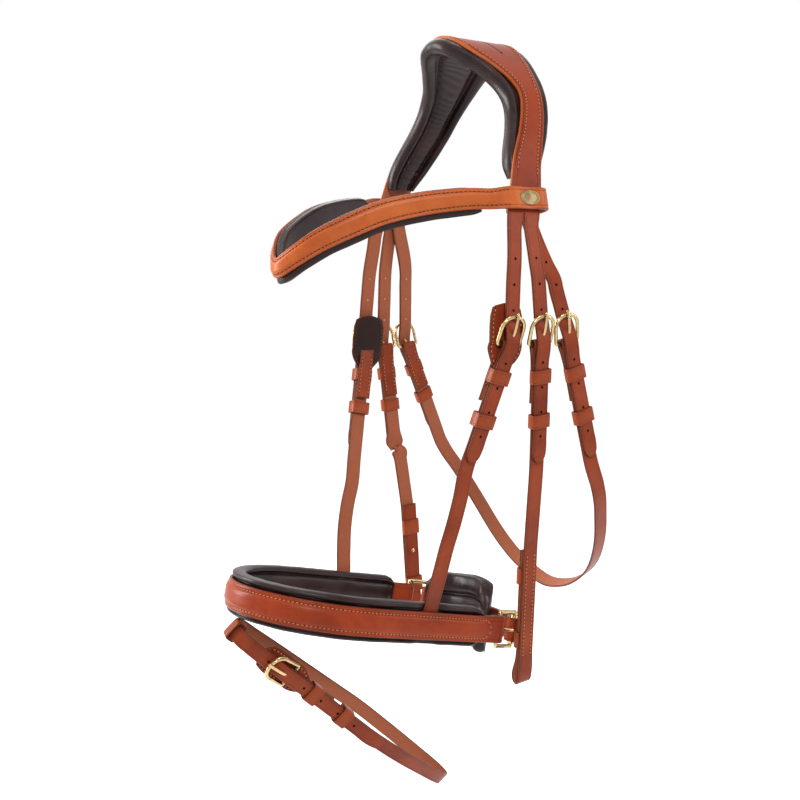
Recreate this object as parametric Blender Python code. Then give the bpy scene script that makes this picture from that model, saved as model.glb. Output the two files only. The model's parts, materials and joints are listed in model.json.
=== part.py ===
"""Horse bridle with a padded crown, browband and crank noseband, and a flash strap.

+Z is up, the horse faces -Y and its near (left) side is +X. The origin lies at the poll, on the
underside of the crown's pad. Lengths are metres.
"""
import math

import bmesh
import bpy
from mathutils import Matrix, Vector

# overall sizes of the bridle as it hangs open
HEIGHT = 0.512
SPREAD = 0.112
REACH = 0.222
CLEARANCE = 0.0003

# straps
STRAP_WIDTH = 0.0142
STRAP_THICK = 0.0018
BILLET_WIDTH = 0.0136
BILLET_THICK = 0.0022
BILLET_TIP_LENGTH = 0.094
TIP_TAPER = 0.010
LAP_LENGTH = 0.046
LAP_MERGE = 0.012
HOLE_PITCH = 0.0195
HOLE_WIDTH = 0.0028
FAR_HOLES_LOWER = 1
FAR_LEAN = 0.021
ABOVE_HOLES = 3
BELOW_HOLES = 4
SLOT_WIDTH = 0.0040
SLOT_LENGTH = 0.0084
EYE_SLOT_DEPTH = 0.0042

# buckles of the cheek, hanger and throat straps
WIRE_RADIUS = 0.0015
BUCKLE_REACH = 0.0200
BUCKLE_SIDE_ROOM = 0.0018
TONGUE_WIDTH = 0.0024
TONGUE_THICK = 0.0013
TONGUE_OVERHANG = 0.0030
EYE_START = math.radians(-215)
EYE_TURN = math.radians(275)
BUCKLE_GAP = 0.0010

# keepers
KEEPER_HEIGHT = 0.0110
KEEPER_THICK = 0.0013
KEEPER_CHAMFER = 0.0010
KEEPER_ROOM = 0.0004
FIXED_KEEPER_DROP = 0.0250
RUNNER_DROP = 0.0600
FAR_RUNNER_DROP = 0.0550
LOWER_RUNNER_RISE = 0.096
LOWER_KEEPER_RISE = 0.040
LOWER_KEEPER_HEIGHT = 0.0140

# crown
BILLET_SETTLE = 0.014
BILLET_DIP = 0.0014
BILLET_ROOM = 0.0005
CROWN_DEPTH = 0.080
CROWN_LEATHER = 0.0032
CROWN_PAD = 0.0095
SPLIT_DROP = 0.1405
PAD_END_DROP = 0.1105
SLIT_WIDTH = 0.0014
POLL_SLIT_HALF = 0.034

# browband
LOOP_DROP = 0.119
LOOP_HEIGHT = 0.017
LOOP_SLACK = 0.0013
LOOP_LEAD = 0.0030
LOOP_REAR = 0.0032
LOOP_START = 0.004
BROW_REACH = 0.181
BROW_DIP = 0.0505
BROW_HEIGHT = 0.0177
BROW_THICK = 0.0026
BROW_CROWN = 0.0016
BROW_PAD = 0.0070
BROW_PAD_LIP = 0.0040
BADGE_LENGTH = 0.0160
BADGE_HEIGHT = 0.0112
BADGE_THICK = 0.0012

# noseband ring, in its own tilted plane
NOSE_HALF_WIDTH = 0.070
NOSE_DEPTH = 0.086
NOSE_BACK = 0.1030
NOSE_BACK_HALF = 0.0645
NOSE_DROP = 0.444
NOSE_BEHIND_FRONT = 0.109
NOSE_PITCH = math.radians(15.4)
NOSE_ROLL = math.radians(4.6)
NOSE_LEATHER = 0.0030
NOSE_WIDTH = 0.0218
NOSE_CROWN = 0.0016
NOSE_PAD = 0.0085
NOSE_PAD_TOP = 0.0065
NOSE_PAD_BOTTOM = 0.0045
NOSE_PAD_END = 0.0825
HANGER_PLACE = 0.028
HANGER_SEAT = 0.009
RECESS_SLOPE = 0.006

# crank closure and chin pad behind the jaw
CRANK_BAR = 0.0018
CRANK_DEPTH = 0.0195
CRANK_ROOM = 0.0012
CRANK_STRAP_WIDTH = 0.020
CRANK_STRAP_THICK = 0.0024
CRANK_BOW = 0.013
ROLLER_WALL = 0.0010
FOLD_RETURN = 0.018
CHIN_LENGTH = 0.108
CHIN_HALF = 0.046
CHIN_BOW = 0.025
CHIN_HEIGHT = 0.062
CHIN_THICK = 0.0115
CHIN_LIFT = 0.003
CHIN_TILT = math.radians(7)
CHIN_LOOP_WIDTH = 0.018

# flash strap
FLASH_WIDTH = 0.012
FLASH_LENGTH = 0.262
FLASH_SPREAD = 0.024
FLASH_SLOPE = math.radians(43.0)
FLASH_ROLL = math.radians(15)
FLASH_BASE = 0.057
FLASH_BUCKLE_REACH = 0.0234
FLASH_TIP_LENGTH = 0.110
FLASH_DROP = 0.0146
FLASH_INSET = 0.0060
FLASH_LOOP_THICK = 0.0018
FLASH_LOOP_HEIGHT = 0.008
FLASH_LOOP_ROOM = 0.0018
FLASH_REACH_UP = 0.045
FLASH_GUARD_RISE = 0.031
FLASH_GUARD_DROP = 0.033
FLASH_GUARD_HALF = 0.0115
FLASH_ABOVE_HOLES = 1
FLASH_BELOW_HOLES = 4

# buckle guards and the hook studs at the bit ends
GUARD_THICK = 0.0020
GUARD_HALF_WIDTH = 0.0158
GUARD_RISE = 0.031
GUARD_DROP = 0.033
STUD_RISE = 0.073
STUD_STEM = 0.0013
STUD_HEAD = 0.0040
STUD_BASE = 0.0009
STUD_CAP = 0.0010
TURN_UP = 0.118
FOLD_REACH = 0.0068
BIT_GAP = 0.0060
BIT_BULGE = 0.018

# how finely curves are cut
SPAN_STEPS = 10
TUBE_SIDES = 6
WRAP_STEPS = 6
TANGENT_STEP = 0.002
LOOK_STEP = 0.0015
STATION_SPACING = 0.022
STATION_TURN = math.radians(7)
ARC_STEPS = 8
EYE_STEPS = 8
NOSE_FRONT_STEPS = 10
CROWN_STEPS = 2
BROW_STEPS = 3
BADGE_SIDES = 16
NOSE_STATIONS = 34
CRANK_SIDES = 8
ROLLER_SIDES = 16
CRANK_STATIONS = 16
CHIN_STATIONS = 16
BULGE_STEPS = 4
STUD_SIDES = 12

PITCH = STRAP_WIDTH + 2 * (CLEARANCE + BUCKLE_SIDE_ROOM + 2 * WIRE_RADIUS) + BUCKLE_GAP

# places down each strap: shares of SPREAD, REACH, PITCH and HEIGHT, and of how far a fastening
# is let down; a buckle's bar lies on the row at BAR_ROW
HANGER_SHARES = (
    (0.821, -0.077, -0.64, 0.277, 0.0), (0.844, -0.077, -0.70, 0.316, 0.0),
    (0.862, -0.074, -0.82, 0.352, 0.0), (0.897, -0.070, -1.02, 0.441, 1.0),
    (0.723, -0.295, 0.0, 0.629, 1.0), (0.688, -0.315, 0.0, 0.690, 0.4),
    (0.661, -0.342, 0.0, 0.735, 0.0), (0.638, -0.369, 0.0, 0.785, 0.0),
)
CHEEK_SHARES = (
    (0.826, -0.077, 0.0, 0.277, 0.0), (0.871, -0.077, 0.0, 0.316, 0.0),
    (0.906, -0.075, 0.0, 0.352, 0.0), (0.950, -0.071, 0.0, 0.441, 1.0),
    (0.875, -0.041, 0.0, 0.629, 1.0), (0.848, -0.034, 0.0, 0.668, 0.0),
    (0.805, -0.023, 0.0, 0.727, 0.0), (0.778, -0.016, 0.0, 0.764, 0.0),
    (0.705, 0.0, 0.0, 1.0, 0.0),
)
THROAT_SHARES = (
    (0.712, -0.077, 0.05, 0.220, 0.0), (0.738, -0.077, 0.12, 0.244, 0.0),
    (0.776, -0.077, 0.34, 0.277, 0.0), (0.822, -0.077, 0.57, 0.316, 0.0),
    (0.866, -0.074, 0.79, 0.352, 0.0), (0.965, -0.070, 1.04, 0.441, 1.0),
    (1.018, 0.153, 0.0, 0.629, 1.0), (1.000, 0.207, 0.0, 0.680, 0.4),
    (0.930, 0.256, 0.0, 0.727, 0.0), (0.853, 0.297, 0.0, 0.766, 0.0),
    (0.746, 0.338, 0.0, 0.805, 0.0), (0.594, 0.381, 0.0, 0.844, 0.0),
    (0.384, 0.414, 0.0, 0.879, 0.0), (0.179, 0.437, 0.0, 0.900, 0.0),
    (0.0, 0.441, 0.0, 0.908, 0.0),
)
# how far the far side of the throat strap leans back, row by row
THROAT_LEAN_SHARES = (0, 0, 0, 0, 0, 0, 1.0, 0.8, 0.7, 0.72, 0.62, 0.36, 0.14, 0.02, 0)
# rows of a strap from which it runs straight, because a fastening sits there
HANGER_STRAIGHT_ROWS = (2, 3)
CHEEK_STRAIGHT_ROWS = (2, 3, 7)
THROAT_STRAIGHT_ROWS = (4, 5)
HANGER_BAR_ROW = 3
CHEEK_BAR_ROW = 3
THROAT_BAR_ROW = 5
STRAIGHT_SHARES = (0.04, 0.3, 0.65, 0.96)

# crown sections: shares of SPREAD, of SPLIT_DROP, and of CROWN_DEPTH for the pad's and the
# leather's front and rear edges
CROWN_SHARES = (
    (0.0, 0.0, -0.525, 0.475, -0.41, 0.41), (0.161, 0.035, -0.50, 0.475, -0.39, 0.41),
    (0.295, 0.110, -0.36, 0.45, -0.25, 0.39), (0.429, 0.217, -0.21, 0.40, -0.09, 0.34),
    (0.536, 0.324, -0.16, 0.35, -0.025, 0.29), (0.612, 0.438, -0.19, 0.29, -0.07, 0.23),
    (0.688, 0.580, -0.29, 0.175, -0.19, 0.125), (0.746, 0.722, -0.375, 0.05, -0.325, 0.03),
    (0.781, 0.865, -0.42, 0.0, -0.395, -0.02), (0.822, 1.0, -0.47, -0.08, -0.47, -0.09),
)
# browband stations: shares of SPREAD, BROW_REACH, BROW_DIP and BROW_HEIGHT
BROW_SHARES = (
    (0.0, -1.0, 1.0, 0.85), (0.134, -0.967, 0.845, 0.87), (0.268, -0.89, 0.60, 0.95),
    (0.384, -0.762, 0.355, 1.0), (0.464, -0.652, 0.19, 1.0), (0.58, -0.508, 0.07, 0.95),
    (0.696, -0.365, 0.005, 0.90), (0.768, -0.280, 0.0, 0.86),
)
# one half of the flash strap's leaf-shaped loop: shares of FLASH_LENGTH and FLASH_SPREAD
FLASH_SHARES = (
    (0.0, 0.0), (0.007, 0.24), (0.055, 0.44), (0.53, 1.0), (0.66, 0.95), (0.79, 0.74),
    (0.89, 0.50), (0.955, 0.34), (0.99, 0.18), (1.0, 0.0),
)
FLASH_STRAIGHT_ROW = 2
# a guard's outline: shares of its rise or drop, and of its half width
GUARD_SHARES = ((1.0, 0.42), (0.93, 0.70), (0.78, 0.92), (0.5, 1.0), (0.16, 1.0))
GUARD_FOOT_SHARES = ((-0.36, 0.80), (-0.50, 0.57), (-0.60, 0.43), (-1.0, 0.43))
# a pad's cross-section: shares of half its width and of its depth, round the crown pad's section
CROWN_PAD_SHARES = (
    (-1.0, -0.58), (-0.93, -0.12), (-0.70, 0.0), (0.70, 0.0), (0.93, -0.12), (1.0, -0.58),
    (0.93, -1.04), (0.78, -1.16), (0.63, -1.04), (0.56, -0.60), (0.35, -0.93), (0.0, -1.0),
    (-0.35, -0.93), (-0.56, -0.60), (-0.63, -1.04), (-0.78, -1.16), (-0.93, -1.04),
)
NOSE_PAD_SHARES = (
    (-1.0, -0.35), (-0.90, 0.0), (0.90, 0.0), (1.0, -0.35), (0.97, -0.80), (0.84, -1.0),
    (0.70, -0.86), (0.62, -0.62), (0.50, -0.84), (0.0, -1.0), (-0.50, -0.84), (-0.62, -0.62),
    (-0.70, -0.86), (-0.84, -1.0), (-0.97, -0.80),
)
BROW_PAD_SHARES = (
    (-1.0, -0.35), (-0.88, 0.0), (0.88, 0.0), (1.0, -0.35), (0.92, -0.80), (0.55, -1.0),
    (-0.55, -1.0), (-0.92, -0.80),
)
CHIN_PAD_SHARES = (
    (-1.0, -0.50), (-0.96, -0.12), (-0.80, 0.0), (0.80, 0.0), (0.96, -0.12), (1.0, -0.50),
    (0.92, -0.90), (0.72, -1.0), (0.50, -0.92), (0.40, -0.62), (0.30, -0.90), (0.0, -1.0),
    (-0.30, -0.90), (-0.40, -0.62), (-0.50, -0.92), (-0.72, -1.0), (-0.92, -0.90),
)
# how a pad's end is drawn in: shares of its full section at its last sections
END_SHARES = (0.72, 0.93, 1.0)
STUD_CAP_SHARE = 0.6
CHIN_END_SHARES = (0.45, 0.9, 1.12, 1.0)
CHIN_END_DRAW_SHARE = 0.35
CHIN_SHARES = ((1.12, 1.3), (1.0, 0.88), (0.82, 0.46), (0.55, 0.14), (0.28, 0.02), (0.0, 0.0))
CRANK_SHARES = ((1.0, 0.0), (0.8, 0.46), (0.58, 0.74), (0.3, 0.95), (0.0, 1.0))
BROW_COLUMN_SHARES = (-1.0, -0.55, 0.55, 1.0)
BADGE_EDGE_SHARE = 0.86
NOSE_RAISED_SHARE = 0.62
NOSE_SIDE_SHARES = (0.86, 0.5, 0.2)
FLASH_RISE_SHARES = (0.70, 0.26)
BILLET_TOP_SHARES = (0.96, 0.92)
TIP_BEND_SHARE = 0.62
TIP_SHARES = (0.80, 0.36)
SHOULDER_SHARE = 0.55
KNEE_SHARES = (0.36, 0.62)
TONGUE_TIP_SHARE = 0.6

TAN = (0.36, 0.09, 0.035)
ORANGE_TAN = (0.50, 0.14, 0.045)
DARK_BROWN = (0.045, 0.026, 0.024)
BRASS = (0.72, 0.55, 0.27)

X_AXIS = Vector((1, 0, 0))
Y_AXIS = Vector((0, 1, 0))
Z_AXIS = Vector((0, 0, 1))
THROAT_ACROSS = Vector((0, 0.93, 0.37))


def clear_scene():
    for item in list(bpy.data.objects):
        bpy.data.objects.remove(item, do_unlink=True)


def material(name, colour, roughness, metallic):
    finish = bpy.data.materials.new(name)
    finish.use_nodes = True
    shader = finish.node_tree.nodes["Principled BSDF"]
    shader.inputs["Base Color"].default_value = (*colour, 1)
    shader.inputs["Roughness"].default_value = roughness
    shader.inputs["Metallic"].default_value = metallic
    return finish


def leather(name, colour=TAN):
    return material(name + "_leather", colour, 0.45, 0.0)


def padding(name):
    return material(name + "_padding", DARK_BROWN, 0.5, 0.0)


def brass(name):
    return material(name + "_brass", BRASS, 0.25, 1.0)


def finish_mesh(name, shape, smooth_angle=math.radians(35)):
    bmesh.ops.recalc_face_normals(shape, faces=shape.faces)
    mesh = bpy.data.meshes.new(name)
    shape.to_mesh(mesh)
    shape.free()
    mesh.shade_smooth()
    mesh.set_sharp_from_angle(angle=smooth_angle)
    return mesh


def put(name, mesh, place, finish):
    """An object whose mesh is already in the local frame that the matrix places."""
    item = bpy.data.objects.new(name, mesh)
    bpy.context.scene.collection.objects.link(item)
    item.matrix_world = place
    if not mesh.materials:
        mesh.materials.append(finish)
    return item


def put_world(name, shape, origin, finish):
    """An object modelled in world places, with its origin set at the given point."""
    mesh = finish_mesh(name, shape)
    mesh.transform(Matrix.Translation(-origin))
    return put(name, mesh, Matrix.Translation(origin), finish)


def axes_matrix(origin, x_axis, y_axis, z_axis):
    turned = Matrix((x_axis, y_axis, z_axis)).transposed().to_4x4()
    return Matrix.Translation(origin) @ turned


def ease(share):
    share = min(max(share, 0.0), 1.0)
    return share * share * (3 - 2 * share)


def blend(first, last, share):
    return first + (last - first) * share


def smooth_run(rows, steps=SPAN_STEPS):
    """Points on a smooth curve through the rows."""
    points = []
    for index in range(len(rows) - 1):
        before = rows[max(index - 1, 0)]
        start, end = rows[index], rows[index + 1]
        after = rows[min(index + 2, len(rows) - 1)]
        for step in range(steps):
            share = step / steps
            pull = 2 * start + (end - before) * share
            bend = (2 * before - 5 * start + 4 * end - after) * share ** 2
            turn = (3 * start - before - 3 * end + after) * share ** 3
            points.append((pull + bend + turn) / 2)
    points.append(rows[-1].copy())
    return points


def with_straights(rows, straight_rows):
    """The rows, with more of them on the straight line that starts at each named row."""
    result = []
    for index, row in enumerate(rows):
        result.append(row)
        if index in straight_rows:
            result += [blend(row, rows[index + 1], share) for share in STRAIGHT_SHARES]
    return result


class Guide:
    """A smooth line that a strap follows, with its across and outward directions."""

    def __init__(self, rows, across, side, closed=False):
        self.points = smooth_run(rows)
        self.across = across
        self.side = side
        self.closed = closed
        self.lengths = [0.0]
        for first, last in zip(self.points, self.points[1:]):
            self.lengths.append(self.lengths[-1] + (last - first).length)
        self.total = self.lengths[-1]

    def place(self, distance):
        if self.closed:
            distance %= self.total
        for index in range(1, len(self.points)):
            if distance <= self.lengths[index] or index == len(self.points) - 1:
                span = self.lengths[index] - self.lengths[index - 1]
                share = (distance - self.lengths[index - 1]) / span
                return blend(self.points[index - 1], self.points[index], share)
        return self.points[-1]

    def frame(self, distance):
        point = self.place(distance)
        ahead = self.place(distance + TANGENT_STEP)
        behind = self.place(distance - TANGENT_STEP)
        along = (ahead - behind).normalized()
        across = (self.across - along * self.across.dot(along)).normalized()
        return point, along, across, along.cross(across) * self.side

    def stations(self, start, end):
        """Distances from start to end, closer together where the line turns faster."""
        places = [start]
        along = self.frame(start)[1]
        count = math.ceil((end - start) / LOOK_STEP)
        for step in range(1, count):
            place = blend(start, end, step / count)
            turned = self.frame(place)[1]
            far = place - places[-1] > STATION_SPACING
            bent = turned.angle(along) > STATION_TURN
            if (far or bent) and end - place > LOOK_STEP:
                places.append(place)
                along = turned
        return places + [end]

    def nearest(self, place):
        """The distance along the guide of the point that lies nearest to a place."""
        index = min(range(len(self.points)), key=lambda i: (self.points[i] - place).length)
        return self.lengths[index]


class Seat:
    """A place on a guide: u runs up the strap from it, n outward and w across."""

    def __init__(self, guide, distance, down=1):
        self.guide = guide
        self.distance = distance
        self.down = down

    def point(self, u, n, w=0.0):
        point, _, across, outward = self.guide.frame(self.distance - self.down * u)
        return point + outward * n + across * w

    def axes(self, u=0.0):
        point, along, _, outward = self.guide.frame(self.distance - self.down * u)
        up = along * -self.down
        return point, up.cross(outward), up, outward

    def matrix(self, u=0.0):
        point, across, up, outward = self.axes(u)
        return axes_matrix(point, across, up, outward)

    def bar_matrix(self, reach):
        """The frame of a buckle that hangs on the bar and runs straight up the strap."""
        point = self.point(0.0, 0.0)
        up = (self.point(reach, 0.0) - point).normalized()
        outward = self.axes(reach / 2)[3]
        outward = (outward - up * outward.dot(up)).normalized()
        return axes_matrix(point, up.cross(outward), up, outward)


# band meshes: a section is a row of columns, and a column is an outer and an inner point

def flat_section(seat, u, n, half, thick, columns=None, lift=0.0):
    places = columns or (-half, half)
    section = []
    for index, w in enumerate(places):
        raised = lift if 0 < index < len(places) - 1 else 0.0
        section.append((seat.point(u, n + thick / 2 + raised, w), seat.point(u, n - thick / 2, w)))
    return section


def turned_section(seat, reach, angle, radius, thick, columns):
    """A section of a strap that wraps the bar at the seat; zero angle is the outward side."""
    bar = seat.bar_matrix(reach).to_3x3()
    point, up, outward = seat.point(0.0, 0.0), bar @ Y_AXIS, bar @ Z_AXIS
    across = bar @ X_AXIS
    if across.dot(seat.guide.frame(seat.distance)[2]) < 0:
        across *= -1
    radial = outward * math.cos(angle) + up * math.sin(angle)
    return [
        (point + radial * (radius + thick / 2) + across * w,
         point + radial * (radius - thick / 2) + across * w)
        for w in columns
    ]


def flipped(section):
    return [(inner, outer) for outer, inner in section]


def strip(shape, first, last):
    """Faces between two rows of points, one of which may have two more than the other."""
    if len(first) == len(last):
        for index in range(len(first) - 1):
            shape.faces.new((first[index], first[index + 1], last[index + 1], last[index]))
        return
    short, wide = sorted((first, last), key=len)
    shape.faces.new((short[0], wide[0], wide[1]))
    shape.faces.new((short[0], wide[1], wide[2], short[1]))
    shape.faces.new((short[1], wide[2], wide[3]))


def pierce(shape, first, last, hole):
    """A cell with an eight-sided hole through it."""
    half_width, half_length = hole
    rings = []
    for layer in (0, 1):
        corners = [first[1][layer], last[1][layer], last[0][layer], first[0][layer]]
        middle = sum((corner.co for corner in corners), Vector()) / len(corners)
        across = (first[1][layer].co - first[0][layer].co).normalized()
        along = (last[0][layer].co - first[0][layer].co).normalized()
        ring = []
        for index in range(8):
            angle = math.radians(45 * index - 22.5)
            reach = along * math.sin(angle) * half_length
            ring.append(shape.verts.new(middle + across * math.cos(angle) * half_width + reach))
        for index in range(4):
            near = 2 * index + 1
            corner, following = corners[(index + 1) % 4], corners[(index + 2) % 4]
            before, start, end = ring[near], ring[(near + 1) % 8], ring[(near + 2) % 8]
            shape.faces.new((corner, start, before))
            shape.faces.new((corner, following, end, start))
        rings.append(ring)
    for index in range(8):
        follow = (index + 1) % 8
        shape.faces.new((rings[0][index], rings[0][follow], rings[1][follow], rings[1][index]))


def cell(shape, first, last, hole=None):
    """One closed stretch between two sections: outer and inner faces and both edges."""
    if hole:
        pierce(shape, (first[0], first[-1]), (last[0], last[-1]), hole)
    else:
        for layer in (0, 1):
            strip(shape, [column[layer] for column in first], [column[layer] for column in last])
    for edge in (0, -1):
        shape.faces.new((first[edge][0], last[edge][0], last[edge][1], first[edge][1]))


def close_end(shape, row):
    for first, last in zip(row, row[1:]):
        shape.faces.new((first[0], last[0], last[1], first[1]))


def band(sections, kinds):
    """A strap from its sections: a kind is solid, open, one hole or a pair of half straps."""
    shape = bmesh.new()
    rows = [
        [tuple(shape.verts.new(point) for point in column) for column in section]
        for section in sections
    ]
    split = [kind == "open" or isinstance(kind, list) for kind in kinds]
    for index, kind in enumerate(kinds):
        first, last = rows[index], rows[index + 1]
        if split[index]:
            holes = kind if isinstance(kind, list) else [None, None]
            cell(shape, first[:2], last[:2], holes[0])
            cell(shape, first[2:], last[2:], holes[1])
        else:
            cell(shape, first, last, None if kind == "solid" else kind)
    for index in range(1, len(kinds)):
        if split[index] != split[index - 1]:
            close_end(shape, rows[index][1:3])
    for row, parted in ((rows[0], split[0]), (rows[-1], split[-1])):
        for part in ((row[:2], row[2:]) if parted else (row,)):
            close_end(shape, part)
    return shape


def loft(rings, closed=False):
    """A solid through rings of points, capped unless it closes on itself."""
    shape = bmesh.new()
    rows = [[shape.verts.new(point) for point in ring] for ring in rings]
    pairs = list(zip(rows, rows[1:]))
    if closed:
        pairs.append((rows[-1], rows[0]))
    for first, last in pairs:
        for index in range(len(first)):
            follow = (index + 1) % len(first)
            shape.faces.new((first[index], first[follow], last[follow], last[index]))
    if not closed:
        shape.faces.new(rows[0])
        shape.faces.new(rows[-1])
    return shape


def tube(path, radius, normal, sides=TUBE_SIDES):
    """A closed ring of round bar whose path lies in the plane with the given normal."""
    rings = []
    count = len(path)
    for index, point in enumerate(path):
        side = (path[(index + 1) % count] - path[index - 1]).normalized().cross(normal)
        rings.append([
            point + side * math.cos(turn) * radius + normal * math.sin(turn) * radius
            for turn in (2 * math.pi * (step + 0.5) / sides for step in range(sides))
        ])
    return loft(rings, True)


# the folded end of a strap round its bar

class Fold:
    """How far the two layers of a folded strap lie from the line of its bar."""

    def __init__(self, bar, half, thick, merge, lap, reach, under=0.0):
        self.radius = bar + CLEARANCE + thick / 2
        self.half = half
        self.thick = thick
        self.merge = merge
        self.lap = lap
        self.reach = reach
        self.flat = (CLEARANCE + thick) / 2
        self.under = under
        self.slot = EYE_SLOT_DEPTH + bar - WIRE_RADIUS

    def main_n(self, u):
        return blend(self.radius, self.flat, ease(-u / self.merge))

    def lap_n(self, u):
        return -blend(self.radius, self.flat + self.under, ease(-u / self.merge))

    def columns(self):
        slot = SLOT_WIDTH / 2
        return (-self.half, -slot, slot, self.half)

    def run(self, seat):
        """Sections and kinds from the main strap, over the bar and down the folded end."""
        columns = self.columns()
        sections, kinds = [], []
        for u in (-self.merge, -(self.merge + self.slot) / 2):
            sections.append(flat_section(seat, u, self.main_n(u), self.half, self.thick))
            kinds.append("solid")
        u = -self.slot
        sections.append(
            flat_section(seat, u, self.main_n(u), self.half, self.thick, columns))
        for step in range(WRAP_STEPS + 1):
            angle = math.pi * step / WRAP_STEPS
            sections.append(
                turned_section(seat, self.reach, angle, self.radius, self.thick, columns))
        kinds += ["open"] * (WRAP_STEPS + 2)
        lower = flat_section(seat, u, self.lap_n(u), self.half, self.thick, columns)
        sections.append(flipped(lower))
        for u in (-(self.merge + self.slot) / 2, -self.merge, -self.lap):
            kinds.append("solid")
            lower = flat_section(seat, u, self.lap_n(u), self.half, self.thick)
            sections.append(flipped(lower))
        return sections, kinds


STRAP_FOLD = Fold(
    WIRE_RADIUS, STRAP_WIDTH / 2, STRAP_THICK, LAP_MERGE, LAP_LENGTH, BUCKLE_REACH)
GUARDED_FOLD = Fold(WIRE_RADIUS, STRAP_WIDTH / 2, STRAP_THICK, LAP_MERGE, LAP_LENGTH,
                    BUCKLE_REACH, GUARD_THICK + CLEARANCE)
FLASH_FOLD = Fold(WIRE_RADIUS, FLASH_WIDTH / 2, STRAP_THICK, LAP_MERGE, LAP_LENGTH,
                  FLASH_BUCKLE_REACH, GUARD_THICK + CLEARANCE)
NOSE_FOLD = Fold(
    CRANK_BAR, NOSE_WIDTH / 2, NOSE_LEATHER, LAP_MERGE, FOLD_RETURN, CRANK_DEPTH)
ROLLER_RADIUS = CRANK_BAR + CLEARANCE + ROLLER_WALL
ROLLER_FOLD = Fold(ROLLER_RADIUS, CRANK_STRAP_WIDTH / 2, CRANK_STRAP_THICK, LAP_MERGE,
                   LAP_MERGE + CRANK_STRAP_THICK, CRANK_DEPTH)
RING_FOLD = Fold(CRANK_BAR, CRANK_STRAP_WIDTH / 2, CRANK_STRAP_THICK, LAP_MERGE, FOLD_RETURN,
                 CRANK_DEPTH)

# heights of a billet that lies over the fold and through the buckle
OVER_BAR_N = STRAP_FOLD.radius + STRAP_THICK / 2 + BILLET_ROOM + BILLET_THICK / 2
OVER_MAIN_N = STRAP_FOLD.flat + STRAP_THICK / 2 + BILLET_ROOM + BILLET_THICK / 2
TOP_BAR_N = OVER_BAR_N + BILLET_THICK / 2 + CLEARANCE + WIRE_RADIUS
GUARD_LOW_N = -(CLEARANCE + GUARD_THICK) / 2
GUARD_HIGH_N = -(WIRE_RADIUS + CLEARANCE + GUARD_THICK / 2)
SLOT_PLACE = (BUCKLE_REACH - SLOT_LENGTH) / 2
BUCKLE_HALF = STRAP_WIDTH / 2 + CLEARANCE + BUCKLE_SIDE_ROOM + WIRE_RADIUS
FLASH_BUCKLE_HALF = FLASH_WIDTH / 2 + CLEARANCE + BUCKLE_SIDE_ROOM + WIRE_RADIUS


def billet_n(u):
    if u > 0:
        return OVER_BAR_N - BILLET_DIP * ease((u - SLOT_PLACE) / (BUCKLE_REACH - SLOT_PLACE))
    return blend(OVER_BAR_N, OVER_MAIN_N, ease(-(u + WIRE_RADIUS) / BILLET_SETTLE))


def guard_n(u):
    return blend(GUARD_HIGH_N, GUARD_LOW_N, ease(-(u + WIRE_RADIUS) / LAP_MERGE))


def billet_run(seat, top, tip, half, thick, above, below):
    """Stations down a billet to its tip, with the hole that starts each one."""
    taper = tip - TIP_TAPER
    stops = {top: None, -taper: None, -blend(taper, tip, TIP_BEND_SHARE): None, -tip: None}
    for index in range(-above, below + 1):
        place = SLOT_PLACE - index * HOLE_PITCH
        hole = (HOLE_WIDTH / 2, HOLE_WIDTH / 2)
        if not index:
            hole = (SLOT_WIDTH / 2, SLOT_LENGTH / 2)
        margin = hole[1] + HOLE_WIDTH / 4
        stops[place + margin] = hole
        stops[place - margin] = None
    shares = [top * share for share in BILLET_TOP_SHARES]
    for u in shares + [BUCKLE_REACH, -WIRE_RADIUS, -BILLET_SETTLE / 2, -BILLET_SETTLE]:
        if not any(abs(u - stop) < HOLE_WIDTH for stop in stops):
            stops[u] = None
    ordered = sorted(stops, reverse=True)
    sections = []
    for u in ordered:
        width = half
        if u < -taper:
            width *= TIP_SHARES[0] if u > -tip else TIP_SHARES[1]
        sections.append(flat_section(seat, u, billet_n(u), width, thick))
    return sections, [stops[u] for u in ordered[:-1]]


# the metal of one buckled fastening

def buckle_mesh(name, half, reach):
    """A horseshoe frame whose base bar lies on the local x axis."""
    tilt = math.atan2(TOP_BAR_N, reach)
    lean = Vector((0, math.cos(tilt), math.sin(tilt)))
    length = math.hypot(TOP_BAR_N, reach)
    shoulder = length - half * SHOULDER_SHARE
    corner = WIRE_RADIUS
    flat = [(-half + corner, 0.0), (half - corner, 0.0), (half, corner)]
    for step in range(ARC_STEPS + 1):
        angle = math.pi * step / ARC_STEPS
        flat.append((half * math.cos(angle), shoulder + (length - shoulder) * math.sin(angle)))
    flat.append((-half, corner))
    path = [X_AXIS * x + lean * f for x, f in flat]
    return finish_mesh(name, tube(path, WIRE_RADIUS, X_AXIS.cross(lean)))


def tongue_mesh(name, bar, reach, rest_n):
    """A flat-bar tongue with an eye round the base bar, resting over the far bar."""
    radius = bar + CLEARANCE + TONGUE_THICK / 2
    path = []
    for step in range(EYE_STEPS + 1):
        angle = EYE_START + EYE_TURN * step / EYE_STEPS
        path.append(Vector((0, math.sin(angle), math.cos(angle))) * radius)
    path.append(Vector((0, reach * KNEE_SHARES[0], rest_n * KNEE_SHARES[1])))
    path.append(Vector((0, reach, rest_n)))
    path.append(Vector((0, reach + TONGUE_OVERHANG, rest_n - TONGUE_THICK / 2)))
    rings = []
    for index, point in enumerate(path):
        ahead = path[min(index + 1, len(path) - 1)]
        behind = path[max(index - 1, 0)]
        side = X_AXIS.cross((ahead - behind).normalized())
        share = TONGUE_TIP_SHARE if index == len(path) - 1 else 1.0
        across = X_AXIS * TONGUE_WIDTH / 2 * share
        lift = side * TONGUE_THICK / 2 * share
        rings.append([point - across - lift, point + across - lift,
                      point + across + lift, point - across + lift])
    return finish_mesh(name, loft(rings))


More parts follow.
